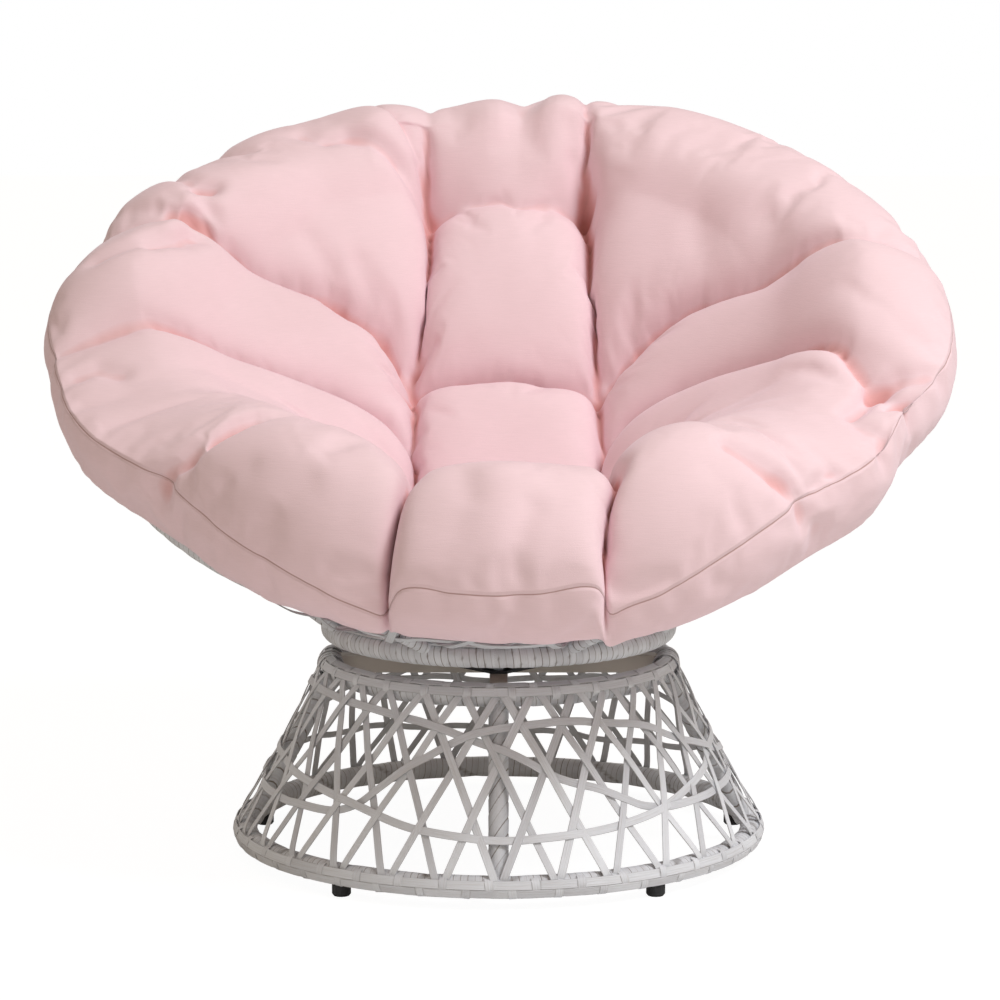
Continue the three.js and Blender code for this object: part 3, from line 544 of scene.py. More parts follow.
def over_wraps(stock, ring, section, count, shift, width, seed):
    """The turns of the winding that pass over a border row."""
    chance = random.Random(seed)
    reach = width * 0.95 / ring[2]
    wraps = []
    for k in range(count):
        azimuth = (k - shift) / count * TURN
        lean = chance.uniform(-0.006, 0.006)

        def route(s):
            across = 2 * s - 1
            lift = 0.2 + 1.9 * np.sin(math.pi * np.clip(s, 0, 1)) ** 0.6
            return on_section(ring, lift, section + reach * across, azimuth + lean * across)

        wraps.append(lay_strip(stock, route, width * chance.uniform(0.95, 1.12), 1.1, chance.random()))
    return wraps


def loose_coils(ring, width):
    """Slack turns where the top ring's winding ends, on the left and on the right."""
    chance = random.Random(17)
    stock = loop_stock(28)
    coils = []
    for side in (-1, 1):
        for k in range(6):
            azimuth = side * math.pi / 2 + (k - 2.5) * 0.052
            lean = chance.uniform(-0.022, 0.022)
            slack = chance.uniform(1.6, 3.6)

            def route(s):
                turn = TURN * s
                return on_section(ring, slack + 1.2 * np.cos(turn), turn, azimuth + lean * np.sin(turn))

            coils.append(lay_strip(stock, route, width * 0.9, 1.2, chance.random(), closed=True))
    discard(stock)
    return coils


def strip_size(context):
    sizes = context.scene.papasan_base
    return sizes.strip_width / MM, sizes.strip_thickness / MM


class PAPASAN_OT_base(Operator):
    """Wrapped rings, posts and woven strips of the base"""

    bl_idname = "papasan.base"
    bl_label = "Base"

    def execute(self, context):
        flat = strip_size(context)
        count = context.scene.papasan_base.strip_count
        cone = Cone(context.scene.papasan_base)
        self.ring("base_bottom_ring", cone.low, (20, -20), 38, 1, flat)
        self.ring("base_top_ring", cone.top, (72, 28), 26, 5, flat)
        rod = strip_stock(150, 16)
        for k, side in enumerate(("front", "right", "rear", "left")):
            inside = -cone.low[2] - 4, -cone.top[2] - 4
            route = rod_route(cone, k * math.pi / 2, (0.03, 0.97), inside)
            post = lay_wrap(rod, route, POST_RADIUS, POST_PITCH, 3 + k, False, 0.5, 0.9)
            finish_wicker([post], "wrapped_post_" + side, "base_post_" + side, "base")
        discard(rod)
        lay_layers(cone, "base", count, flat, 11, (-2.0, 1.005), (3.4, (-0.01, 0.045), 1.6))
        loop = loop_stock(360)
        for k, (node, rows) in enumerate(HOOPS.items()):
            route = hoop_route(cone, rows, SPAN * TURN / count, 2.0 + 0.3 * k, 2.1, count / 2, 0.4 + k * 2.1)
            strip = lay_strip(loop, route, flat[0] * 1.02, flat[1], 0.3 + 0.2 * k, closed=True)
            finish_wicker([strip], "woven_" + node, node, "base")
        discard(loop)
        return {"FINISHED"}

    def ring(self, node, ring, sections, count, seed, flat):
        """A wound ring with border rows at two angles of its section."""
        radius, height, tube = ring
        tube_stock = loop_stock(round(TURN * radius / BASE_PITCH) * 6, 20)
        row_stock = loop_stock(count * 16)
        wrap_stock = strip_stock(7)
        pieces = [lay_wrap(tube_stock, tube_route(radius, height), tube, BASE_PITCH, seed, True)]
        for k, section in enumerate(sections):
            turn, shift = math.radians(section), 0.5 * k + 0.2
            pieces.append(border_row(row_stock, ring, turn, count, shift, flat, seed + k))
            pieces += over_wraps(wrap_stock, ring, turn, count, shift, flat[0], seed + k)
        if node == "base_top_ring":
            pieces += loose_coils(ring, flat[0])
        discard(tube_stock, row_stock, wrap_stock)
        finish_wicker(pieces, "wrapped_" + node, node, "base")


class PAPASAN_OT_bowl(Operator):
    """Wrapped rings, ribs and woven strips of the bowl"""

    bl_idname = "papasan.bowl"
    bl_label = "Bowl"

    def execute(self, context):
        flat = strip_size(context)
        wall = Wall()
        ring_stock = loop_stock(round(TURN * RING_RADIUS / RING_PITCH) * 6, 20)
        route = tube_route(RING_RADIUS, RING_HEIGHT)
        ring = lay_wrap(ring_stock, route, RIM_TUBE + 0.3, RING_PITCH, 7, True)
        band_stock = loop_stock(240)
        level_ring = RING_RADIUS, RING_HEIGHT, RIM_TUBE
        band = lay_strip(band_stock, lambda s: on_section(level_ring, 1.6, math.radians(78), s * TURN),
                         9.0, 2.2, 0.9, closed=True)
        finish_wicker([ring, band], "wrapped_bowl_ring", "bowl_bottom_ring", "bowl")
        rim_stock = loop_stock(round(TURN * RIM_RADIUS / RIM_PITCH) * 5, 16)
        rim = lay_wrap(rim_stock, rim_route, RIM_TUBE + 0.3, RIM_PITCH, 9, True)
        finish_wicker([rim], "wrapped_bowl_rim", "bowl_rim", "bowl")
        rod = strip_stock(180, 12)
        inside = [-RIM_TUBE - 3.4] * 2
        for k in range(8):
            route = rod_route(wall, (k + 0.5) * math.pi / 4, (0.03, 0.98), inside)
            rib = lay_wrap(rod, route, RIB_RADIUS, RIM_PITCH, 20 + k, False)
            finish_wicker([rib], "wrapped_bowl_rib_%d" % (k + 1), "bowl_rib_%d" % (k + 1), "bowl")
        lay_layers(wall, "bowl", BOWL_STRIPS, flat, 31, (-12.0, 1.01), (26.0, (0.0, 0.42), -6.5))
        loop = loop_stock(300)
        for k, (node, share) in enumerate((("bowl_hoop_lower", 0.34), ("bowl_hoop_upper", 0.68))):
            rows = []
            for a in range(-180, 180, 30):
                wander = 0.05 * math.sin(math.radians(3 * a + 70 * k))
                rows.append((a, share + wander - 0.235 * (1 - smooth(abs(a), 50, 110))))
            dip = SPAN * TURN / BOWL_STRIPS
            route = hoop_route(wall, rows, dip, -6.0, 2.0, BOWL_STRIPS / 2, 0.8 * k, 18.0)
            strip = lay_strip(loop, route, flat[0], flat[1], 0.4 + 0.2 * k, closed=True)
            finish_wicker([strip], "woven_" + node, node, "bowl")
        discard(ring_stock, band_stock, rim_stock, rod, loop)
        return {"FINISHED"}


# Cushion

# Sewn creases in the rim's frame: x, y in mm and how deep each place is pulled, 0 to 1
LEFT_COLUMN = [
    (-88, 482, .55), (-84, 380, .7), (-84, 300, .95), (-86, 220, .8), (-99, 98, 1), (-94, 60, .85),
    (-92, 0, .9), (-96, -60, .9), (-98, -115, 1), (-100, -200, .9), (-96, -290, .9), (-88, -345, .9),
    (-84, -390, .85), (-100, -430, .85), (-110, -465, .9), (-116, -500, .95),
]
RIGHT_COLUMN = [
    (104, 484, .5), (103, 380, .7), (105, 298, .95), (110, 215, .8), (117, 90, 1), (114, 55, .85),
    (115, 0, .9), (115, -60, .9), (115, -115, 1), (114, -200, .9), (112, -290, .9), (112, -345, .9),
    (122, -395, .85), (108, -440, .85), (106, -470, .9), (104, -500, .95),
]
ROWS = [
    [(-84, 300, .95), (-45, 296, .5), (12, 294, .45), (62, 294, .5), (105, 298, .95)],
    [(-99, 98, 1), (-55, 98, .85), (8, 100, .8), (66, 94, .85), (117, 90, 1)],
    [(-98, -115, 1), (-50, -106, .8), (8, -102, .75), (65, -106, .8), (115, -115, 1)],
]
SIDES = [
    [(-99, 98, 1), (-136, 138, .9), (-210, 152, .8), (-262, 142, .8), (-320, 136, .75), (-380, 132, .7),
     (-440, 124, .8), (-500, 130, .85)],
    [(-92, 0, .9), (-135, 22, .9), (-185, 25, .85), (-245, 8, .8), (-305, -12, .75), (-365, -38, .65),
     (-425, -62, .6), (-500, -88, .5)],
    [(-84, 300, .95), (-112, 350, .5), (-150, 395, .5), (-195, 418, .6), (-237, 430, .7), (-252, 448, .75)],
    [(-285, 285, .1), (-325, 300, .35), (-365, 312, .6), (-400, 330, .75)],
    [(-310, -305, .05), (-332, -314, .3), (-360, -326, .5)],
    [(117, 90, 1), (160, 118, .9), (215, 130, .85), (265, 124, .8), (320, 104, .75), (380, 84, .65),
     (440, 66, .65), (500, 56, .7)],
    [(115, 0, .9), (150, 16, .9), (205, 18, .85), (265, 2, .8), (325, -32, .8), (372, -84, .8),
     (402, -140, .75), (428, -192, .55), (455, -235, .25)],
    [(284, -362, .05), (302, -366, .3), (322, -374, .45)],
    [(26, 400, .05), (22, 430, .3), (20, 500, .55)],
]
# Soft folds in the cloth: places in the rim's frame, then depth and half width in mm
FOLDS = [
    ([(-356, -318), (-320, -318), (-276, -297), (-248, -280)], 15, 12),
    ([(-300, -374), (-276, -372), (-252, -373)], 4, 13),
    ([(-239, -440), (-228, -427), (-213, -416), (-190, -408)], 4, 14),
    ([(312, -368), (290, -360), (269, -359), (234, -349)], 14, 12),
    ([(307, -362), (318, -355), (343, -325)], 9, 9),
    ([(249, -343), (228, -369), (214, -388)], 4, 15),
    ([(21, -515), (16, -498), (22, -478), (34, -452)], 6, 13),
    ([(-40, -470), (-30, -440), (-34, -410)], 5, 16),
    ([(480, -137), (426, -143), (405, -149), (372, -203)], 16, 11),
    ([(476, -168), (440, -170), (410, -188)], 9, 8),
    ([(371, -221), (400, -252), (396, -280)], 12, 10),
    ([(-446, 34), (-386, 56), (-351, 82), (-337, 107)], 17, 12),
    ([(-420, 160), (-372, 141), (-351, 140), (-332, 142)], 11, 10),
    ([(-384, 238), (-343, 186), (-326, 184)], 17, 10),
    ([(-356, 206), (-334, 164), (-323, 151)], 11, 9),
    ([(-484, -150), (-452, -130), (-431, -120), (-406, -130)], 8, 12),
    ([(-232, 328), (-204, 316), (-181, 322), (-150, 314), (-112, 306)], 15, 12),
    ([(-177, 114), (-195, 162), (-218, 182)], 5, 15),
    ([(-127, 144), (-144, 160), (-158, 176)], 5, 14),
    ([(237, 137), (232, 169), (227, 198)], 4, 18),
    ([(322, 76), (309, 128), (303, 156)], 7, 22),
    ([(86, 350), (92, 326), (104, 303)], 7, 12),
]
# The crease field's grid: cells along a side and the distance in mm from the middle to the side
GRID = 216
GRID_REACH = 545.0
CELL = 2 * GRID_REACH / (GRID - 1)
# Distance from a crease in mm at which a lobe is full
LOBE = 80.0


def crease_field():
    """How far each place of the top panel swells between the creases, from 0 in a crease to 1 on a lobe."""
    held = np.zeros((GRID, GRID), bool)
    value = np.zeros((GRID, GRID))
    for line in [LEFT_COLUMN, RIGHT_COLUMN] + ROWS + SIDES:
        for (x0, y0, d0), (x1, y1, d1) in zip(line, line[1:]):
            steps = int(math.hypot(x1 - x0, y1 - y0) / (CELL * 0.4)) + 2
            for t in np.linspace(0, 1, steps):
                i = int(round((y0 + (y1 - y0) * t + GRID_REACH) / CELL))
                j = int(round((x0 + (x1 - x0) * t + GRID_REACH) / CELL))
                if 0 <= i < GRID and 0 <= j < GRID:
                    lift = ((1 - (d0 + (d1 - d0) * t)) * LOBE) ** 2
                    value[i, j] = min(value[i, j], lift) if held[i, j] else lift
                    held[i, j] = True
    field = np.where(held, value, LOBE**2 / 2)
    for _ in range(2600):
        padded = np.pad(field, 1, mode="edge")
        beside = padded[:-2, 1:-1] + padded[2:, 1:-1] + padded[1:-1, :-2] + padded[1:-1, 2:]
        field = np.minimum(0.25 * beside + CELL * CELL / 2, (1.45 * LOBE) ** 2)
        field[held] = value[held]
    swell = np.sqrt(np.maximum(field, 0)) / LOBE
    return np.tanh(1.5 * swell) / math.tanh(1.5 * 1.3)


def between(grid, i, n, j, a, b):
    """Reads between rows i and n and columns j and j + 1, at shares a and b of the way."""
    return (grid[i, j] * (1 - a) * (1 - b) + grid[n, j] * a * (1 - b)
            + grid[i, j + 1] * (1 - a) * b + grid[n, j + 1] * a * b)


def read_field(field, x, y):
    u = np.clip((x + GRID_REACH) / CELL, 0, GRID - 1.001)
    v = np.clip((y + GRID_REACH) / CELL, 0, GRID - 1.001)
    i, j = v.astype(int), u.astype(int)
    return between(field, i, i + 1, j, v - i, u - j)


# Cushion sizes by azimuth in degrees from the front, growing to the right
OUTLINE = [
    (-180, 470), (-165, 474), (-150, 470), (-138, 484), (-128, 474), (-115, 492), (-105, 480), (-92, 500),
    (-78, 497), (-62, 497), (-47, 476), (-32, 494), (-15, 506), (0, 512), (15, 508), (30, 496), (42, 484),
    (54, 492), (64, 480), (76, 500), (90, 502), (105, 496), (120, 490), (135, 486), (150, 480), (165, 474),
]
SEAM = [
    (-180, 70), (-150, 74), (-120, 84), (-90, 94), (-75, 94), (-60, 98), (-45, 97), (-31, 86), (-20, 66),
    (-15, 50), (-12.5, 48), (-10.5, 88), (-6, 94), (0, 93), (6, 95), (10, 97), (11.5, 78), (12.8, 54),
    (16, 60), (20, 72), (32, 100), (45, 106), (60, 108), (75, 106), (90, 104), (120, 90), (150, 76),
]
CROWN = [
    (-180, 134), (-171, 124), (-166, 136), (-158, 148), (-150, 140), (-135, 142), (-120, 146), (-105, 146),
    (-90, 142), (-80, 104), (-70, 90), (-60, 100), (-45, 144), (-30, 168), (-20, 166), (-13, 158), (0, 168),
    (13, 158), (20, 166), (30, 168), (45, 128), (60, 92), (70, 94), (80, 124), (90, 150), (105, 148),
    (120, 150), (135, 148), (150, 146), (160, 138), (171, 146), (176, 124),
]
LOW_EDGE = [
    (-180, 31), (-40, 31), (-20, 29), (-14, 25), (-11.5, 35), (-8, 38), (-2, 38), (3, 35), (7, 30), (9.6, 33),
    (11.6, 22), (13, 9), (17, 12), (22, 17), (30, 18), (45, 21), (60, 26), (90, 31),
]
# The two deep pleats in front, in the rim's frame, and how far from them the cloth is drawn in
PLEATS = [
    [(-94, -385), (-100, -420), (-108, -455), (-114, -500), (-112, -560)],
    [(118, -385), (110, -425), (107, -460), (106, -500), (106, -560)],
]
PLEAT_REACH = 48.0
EDGE_TABLES = OUTLINE, SEAM, CROWN, LOW_EDGE
# The rolls in front, in mm: how far their crest lies from the middle, how much less at the sides, half width
ROLL = 355, 45, 82
# Where the crown hangs lower between two lobes: azimuth in degrees and depth in mm
SAGS = [(-70, 26), (60, 34)]
# The hollow of the seat: its sphere in mm, and the outline's shares where it ends and where the crown is
DISH_RADIUS = 370.0
DISH_CENTRE = 237.5
DISH_EDGE = 365.0
DISH_SHARE = 0.655
CROWN_SHARE = 0.80
CROWN_TURN = math.radians(66)
# The outline before the filling swells it, and the shares of the outline over which pulls turn to the edge
FILL_SHARE = 0.992
EDGE_SHARES = 0.62, 0.86
# Stations of a profile, and the share of them before the seam
STATIONS = 400
SEAM_SHARE = 0.58
# In mm: least pull of a crease, filling left under it, how far past the seam the edge is still pulled, and
# how deep a place in a tight crease lies
SHALLOWEST = 20
BELOW_CREASES = 46
EDGE_PULLED = 176
HOLLOW_DEPTH = 8.0
# Cuts along each side of the cube that becomes the cushion, how much larger the cloth is cut, frames
CUSHION_CUTS = 87
SLACK = 0.04
CLOTH_FRAMES = 20


def wall_height(x, y):
    """Height over the rim's plane of the bowl's straight wall, carried on past both rings."""
    middle = np.array([0, 0, RING_HEIGHT]) - RIM_MIDDLE
    middle_up, middle_w = middle @ SLOPE_UP, middle @ RIM_NORMAL
    low, high = np.full(np.shape(x), -0.5), np.full(np.shape(x), 1.3)
    for _ in range(26):
        share = (low + high) / 2
        across = x / (RING_RADIUS + (RIM_RADIUS - RING_RADIUS) * share)
        flat = RING_RADIUS * SLOPE_UP[1]
        up = (y - (1 - share) * middle_up) / (flat + (RIM_RADIUS - flat) * share)
        outside = across**2 + up**2 > 1
        low, high = np.where(outside, share, low), np.where(outside, high, share)
    return (1 - low) * (middle_w + up * RING_RADIUS * RIM_NORMAL[1])


def under_height(x, y):
    """Underside of the cushion: clear of the wall's tubes and of the bars."""
    front = (1 - y / np.maximum(np.hypot(x, y), 1)) / 2
    gap = (RIM_TUBE + 1.3) * (1.13 + 0.63 * front**1.5)
    level = (RESTS_AT - RIM_MIDDLE[2] - y * SLOPE_UP[2]) / RIM_NORMAL[2]
    return np.maximum(wall_height(x, y) + gap, level)


def full_height(x, y, sizes):
    """Tops of the lobes: a sphere in front, the wall's slope behind, and a thick roll each side in front."""
    sphere = DISH_CENTRE - np.sqrt(DISH_RADIUS**2 - np.minimum(x**2 + y**2, DISH_EDGE**2))
    padded = wall_height(x, y) + mm(sizes.loft)
    out, turn = np.hypot(x, y), np.degrees(np.arctan2(x, -y))
    aside = np.abs(turn)
    crest, inward, half = ROLL
    roll = bell(out - crest + inward * smooth(aside, 28, 58), half)
    roll *= smooth(aside, 12, 30) * (1 - smooth(aside, 48, 76))
    sag = sum(deep * bell(turn - azimuth, 16) for azimuth, deep in SAGS) * smooth(out, 240, 350)
    return (sphere + padded + np.hypot(sphere - padded, 34.0)) / 2 + mm(sizes.roll) * roll - sag


def bent(start, knee, end, count):
    """Points of a curve from its start, which is left out, towards a knee and on to its end."""
    t = np.linspace(0, 1, count)[1:, None]
    curve = (1 - t) ** 2 * start + 2 * t * (1 - t) * np.array(knee) + t**2 * np.array(end)
    return [tuple(point) for point in curve]


def cushion_profile(azimuth, sizes):
    """Radius and height from the middle of the top over the crown and the boxed edge to the middle below."""
    outline, seam, crown, low_edge = (float(eased(rows, azimuth)) for rows in EDGE_TABLES)
    outline *= FILL_SHARE
    east, north = math.sin(math.radians(azimuth)), -math.cos(math.radians(azimuth))
    crown_radius = outline * CROWN_SHARE
    r = np.linspace(0, DISH_SHARE * outline, 60)
    points = list(zip(r, full_height(r * east, r * north, sizes)))
    start = np.array(points[-1])
    slope = start - np.array(points[-3])
    knee = start[0] + slope[0] / slope[1] * max(crown - start[1], 1) if slope[1] > 1 else start[0]
    points += bent(start, (min(knee, crown_radius - 12), crown), (crown_radius, crown), 30)
    for a in np.linspace(0, CROWN_TURN, 30)[1:]:
        points.append((crown_radius + (outline - crown_radius) * math.sin(a) / math.sin(CROWN_TURN),
                       crown - (crown - seam) * (1 - math.cos(a)) / (1 - math.cos(CROWN_TURN))))
    seam_at = len(points) - 1
    for t in np.linspace(0, 1, 14)[1:]:
        points.append((outline - 5 * t + 4 * math.sin(math.pi * t), seam + (low_edge - seam) * t))
    low = np.array(points[-1])
    points += bent(low, (low[0] - 8, 12.0), (RIM_RADIUS + 22, 15.0), 10)
    inward = math.radians(118 + 28 * ((1 - north) / 2) ** 1.5)
    for a in np.linspace(math.radians(60), inward, 12):
        points.append((RIM_RADIUS + (RIM_TUBE + 1.4) * math.cos(a), (RIM_TUBE + 1.4) * math.sin(a)))
    r = np.linspace(points[-1][0] - 3, 0, 80)
    points += list(zip(r, under_height(r * east, r * north)))
    points = np.array(points)
    along = np.concatenate([[0], np.cumsum(np.hypot(*np.diff(points, axis=0).T))])
    return points, along, along[seam_at]


def cushion_sheet(sizes):
    """Profiles at even azimuths, each with the same stations, and the seam always at the same one."""
    azimuths = np.arange(0, 360, 2.0)
    sheet = np.empty((len(azimuths), STATIONS, 2))
    lengths = np.empty((len(azimuths), STATIONS))
    share = np.linspace(0, 1, STATIONS)
    for k, azimuth in enumerate(azimuths):
        points, along, seam = cushion_profile(azimuth, sizes)
        target = np.where(share < SEAM_SHARE, share / SEAM_SHARE * seam,
                          seam + (share - SEAM_SHARE) / (1 - SEAM_SHARE) * (along[-1] - seam))
        sheet[k, :, 0] = np.interp(target, along, points[:, 0])
        sheet[k, :, 1] = np.interp(target, along, points[:, 1])
        lengths[k] = target - seam
    return sheet, lengths


def read_sheet(sheet, azimuth, share):
    count = sheet.shape[0]
    u = (azimuth % 360) / 360 * count
    v = np.clip(share, 0, 1) * (STATIONS - 1)
    i = np.floor(u).astype(int) % count
    j = np.minimum(np.floor(v).astype(int), STATIONS - 2)
    a, b = u - np.floor(u), v - j
    if sheet.ndim == 3:
        a, b = a[:, None], b[:, None]
    return between(sheet, i, (i + 1) % count, j, a, b)


def shape_cushion(piece, field, sizes):
    """Lays a ball's points out as the filled cushion. Returns how full each is and how far past the seam."""
    ball = unit(points_of(piece))
    azimuth = np.degrees(np.arctan2(ball[:, 0], -ball[:, 1]))
    share = np.arccos(np.clip(ball[:, 2], -1, 1)) / math.pi
    sheet, lengths = cushion_sheet(sizes)
    spot = read_sheet(sheet, azimuth, share)
    along = read_sheet(sheet, azimuth, share + 0.004) - read_sheet(sheet, azimuth, share - 0.004)
    size = np.maximum(np.hypot(along[:, 0], along[:, 1]), 1e-6)
    in_r, in_w = along[:, 1] / size, -along[:, 0] / size
    east, north = np.sin(np.radians(azimuth)), -np.cos(np.radians(azimuth))
    outline = eased(OUTLINE, azimuth)
    flat = np.minimum(spot[:, 0], outline * 0.985)
    swell = read_field(field, flat * east, flat * north)
    past = read_sheet(lengths, azimuth, share)
    edge = smooth(spot[:, 0] / outline, *EDGE_SHARES) * (past < EDGE_PULLED)
    thick = spot[:, 1] - under_height(spot[:, 0] * east, spot[:, 0] * north)
    room = np.clip(thick - BELOW_CREASES, SHALLOWEST, mm(sizes.crease_depth))
    rim_pull = 30 + 16 * smooth(-north, 0, 0.5) + 20 * bell(np.abs(azimuth) - 14, 5)
    pull = (room * (1 - edge) + rim_pull * edge) * (1 - 0.4 * smooth(past, -80, 0))
    sink = pull * (1 - smooth(past, 12, 48)) * (1 - swell)
    r = spot[:, 0] + sink * in_r * edge
    put_in_rim(piece, r * east, r * north, spot[:, 1] + sink * (in_w * edge - (1 - edge)))
    return swell, past


def ways_to(line, flat):
    """For each stretch of a line in turn, the way from each place to the nearest point of the stretch."""
    for first, second in zip(line, line[1:]):
        step = second - first
        share = np.clip((flat - first) @ step / (step @ step), 0, 1)
        yield first + share[:, None] * step - flat


def close_pleats(piece, past):
    """Draws the lobes on both sides of a pleat together until only a slit is left."""
    points = points_of(piece)
    start = np.stack(in_rim(points)[:2], axis=-1)
    flat = start
    for line in np.array(PLEATS, float):
        ways = np.array(list(ways_to(line, flat)))
        away = np.linalg.norm(ways, axis=2)
        close = 1 - np.clip(away.min(axis=0) / PLEAT_REACH, 1e-6, 1) ** 0.85
        close *= smooth(-flat[:, 1] + line[0][1], -20, 30) * (1 - smooth(past, 60, 105))
        flat = flat + ways[away.argmin(axis=0), np.arange(len(flat))] * close[:, None]
    shift = flat - start
    set_points(piece, points + (shift[:, :1] * RIGHT + shift[:, 1:] * SLOPE_UP) * MM)


def fold(piece, past):
    """Presses the soft folds into the cloth along its normals, above the seam and a little below it."""
    points = points_of(piece)
    flat = np.stack(in_rim(points)[:2], axis=-1)
    depth = np.zeros(len(flat))
    for line, deep, half in FOLDS:
        for k, way in enumerate(ways_to(np.array(line, float), flat)):
            held = math.sin(math.pi * (0.18 + 0.5 * k / (len(line) - 1)))
            depth = np.maximum(depth, deep * held * bell(np.linalg.norm(way, axis=1), half))
    depth *= 1 - smooth(past, 10, 50)
    set_points(piece, points - normals_of(piece) * (depth * MM)[:, None])


def hollowness(piece):
    """How far each point lies below its surroundings, from 0 on open cloth to 1 in a tight crease."""
    ends = np.empty(len(piece.data.edges) * 2, int)
    piece.data.edges.foreach_get("vertices", ends)
    first, second = ends.reshape(-1, 2).T
    points = level = points_of(piece)
    count = len(points)
    near = np.bincount(first, minlength=count) + np.bincount(second, minlength=count)

    def spread(values):
        columns = values.reshape(count, -1)
        total = [np.bincount(first, column[second], count) + np.bincount(second, column[first], count)
                 for column in columns.T]
        return (np.stack(total, axis=-1) / near[:, None]).reshape(values.shape)

    for _ in range(14):
        level = spread(level)
    below = np.einsum("ij,ij->i", level - points, normals_of(piece)) / MM
    return np.clip(spread(spread(below)) / HOLLOW_DEPTH, 0, 1)


def lift_off_bowl(piece):
    """Keeps the underside clear of the bowl's wall and bars."""
    x, y, w = in_rim(points_of(piece))
    inside = np.hypot(x, y) < RIM_RADIUS - RIM_TUBE
    put_in_rim(piece, x, y, np.where(inside, np.maximum(w, under_height(x, y)), w))


def build_ball(name, cuts):
    """A ball of even four-sided faces, from a subdivided cube cast to a sphere."""
    deselect()
    bpy.ops.mesh.primitive_cube_add(size=2)
    piece = bpy.context.active_object
    piece.name = name
    piece.data.name = name
    bpy.ops.object.mode_set(mode="EDIT")
    bpy.ops.mesh.select_all(action="SELECT")
    bpy.ops.mesh.subdivide(number_cuts=cuts)
    bpy.ops.object.mode_set(mode="OBJECT")
    set_points(piece, np.tan(points_of(piece) * math.pi / 4))
    cast = piece.modifiers.new("round", "CAST")
    cast.factor = 1.0
    apply_modifiers(piece)
    return piece


def inflate(piece, held, reach, pressure):
    """Cloth under pressure swells between its held seams, and no point goes farther than its reach."""
    start = points_of(piece)
    group = piece.vertex_groups.new(name="held")
    steps = np.round(held * 10).astype(int)
    for step in range(1, 11):
        group.add(np.nonzero(steps == step)[0].tolist(), step / 10, "REPLACE")
    cloth = piece.modifiers.new("cloth", "CLOTH")
    fabric = dict(quality=4, mass=0.3, tension_stiffness=12, compression_stiffness=12, shear_stiffness=4,
                  bending_stiffness=0.3, use_pressure=True, uniform_pressure_force=pressure,
                  shrink_min=-SLACK, vertex_group_mass="held")
    for key, value in fabric.items():
        setattr(cloth.settings, key, value)
    cloth.settings.effector_weights.gravity = 0
    cloth.point_cache.frame_start = 1
    cloth.point_cache.frame_end = CLOTH_FRAMES
    for frame in range(1, CLOTH_FRAMES + 1):
        bpy.context.scene.frame_set(frame)
    apply_modifiers(piece)
    bpy.context.scene.frame_set(1)
    move = points_of(piece) - start
    far = np.linalg.norm(move, axis=1)
    move *= (reach * np.tanh(far / reach) / np.maximum(far, 1e-9))[:, None]
    set_points(piece, start + move)
    piece.vertex_groups.clear()


class PAPASAN_OT_cushion(Operator):
    """Round tufted cushion that lies in the bowl"""

    bl_idname = "papasan.cushion"
    bl_label = "Cushion"

    def execute(self, context):
        sizes = context.scene.papasan_cushion
        piece = build_ball("tufted_cushion", CUSHION_CUTS)
        fullness, past = shape_cushion(piece, crease_field(), sizes)
        sewn = np.clip(1.6 - fullness * 9, 0, 1) * (past < 60)
        hem = np.clip(1.6 - np.abs(past) / 6, 0, 1)
        held = np.maximum(np.maximum(sewn, hem), smooth(past, 62, 90))
        swell, edge_swell = mm(sizes.swell), mm(sizes.edge_swell)
        reach = swell - (swell - edge_swell) * smooth(past, -190, -30)
        inflate(piece, held, reach * MM, sizes.pressure)
        close_pleats(piece, past)
        fold(piece, past)
        lift_off_bowl(piece)
        set_attributes(piece, seam=past * MM)
        subdivide = piece.modifiers.new("soften", "SUBSURF")
        subdivide.levels = subdivide.render_levels = 1
        apply_modifiers(piece)
        bpy.ops.object.shade_smooth()
        # hollow drives the cloth's painted shade and bounce light in its creases
        set_attributes(piece, hollow=hollowness(piece))
        coat(piece, woven_cloth())
        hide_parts("cushion")
        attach(piece, "cushion")
        return {"FINISHED"}


# Materials

def coat(piece, material):
    piece.data.materials.clear()
    piece.data.materials.append(material)


def node(tree, kind, inputs=None, output=0, **settings):
    """Adds a node with its settings, links or fills its inputs, and returns one of its outputs."""
    made = tree.nodes.new(kind)
    for key, value in settings.items():
        setattr(made, key, value)
    for socket, value in (inputs or {}).items():
        if isinstance(value, NodeSocket):
            tree.links.new(value, made.inputs[socket])
        else:
            made.inputs[socket].default_value = value
    return made.outputs[output] if len(made.outputs) else None


def attributes(tree, *names):
    return [node(tree, "ShaderNodeAttribute", output="Fac", attribute_name=name) for name in names]


def sums(tree, operation, first, second=0.5):
    return node(tree, "ShaderNodeMath", {0: first, 1: second}, operation=operation)


def times(tree, vector, factor):
    return node(tree, "ShaderNodeVectorMath", {0: vector, 1: factor}, operation="MULTIPLY")


def noise(tree, place, scale, detail, rough=0.5):
    inputs = {"Vector": place, "Scale": scale, "Detail": detail, "Roughness": rough}
    return node(tree, "ShaderNodeTexNoise", inputs)


def ranged(tree, value, low, high, to_low=0.0, to_high=1.0):
    """A value brought from one range to another and held at both ends."""
    return node(tree, "ShaderNodeMapRange", {0: value, 1: low, 2: high, 3: to_low, 4: to_high})


def ramp(tree, value, *stops):
    """Colours by a value: the stops are both ends first, then those between them."""
    made = node(tree, "ShaderNodeValToRGB", {0: value})
    elements = made.node.color_ramp.elements
    for k, (place, paint) in enumerate(stops):
        element = elements[k] if k < 2 else elements.new(place)
        element.position = place
        element.color = linear(paint)
    return made


def tinted(tree, share, base, paint):
    return node(tree, "ShaderNodeMixRGB", {0: share, 1: base, 2: linear(paint)})


def bumped(tree, height, strength, distance, **under):
    inputs = {"Height": height, "Strength": strength, "Distance": distance, **under}
    return node(tree, "ShaderNodeBump", inputs)


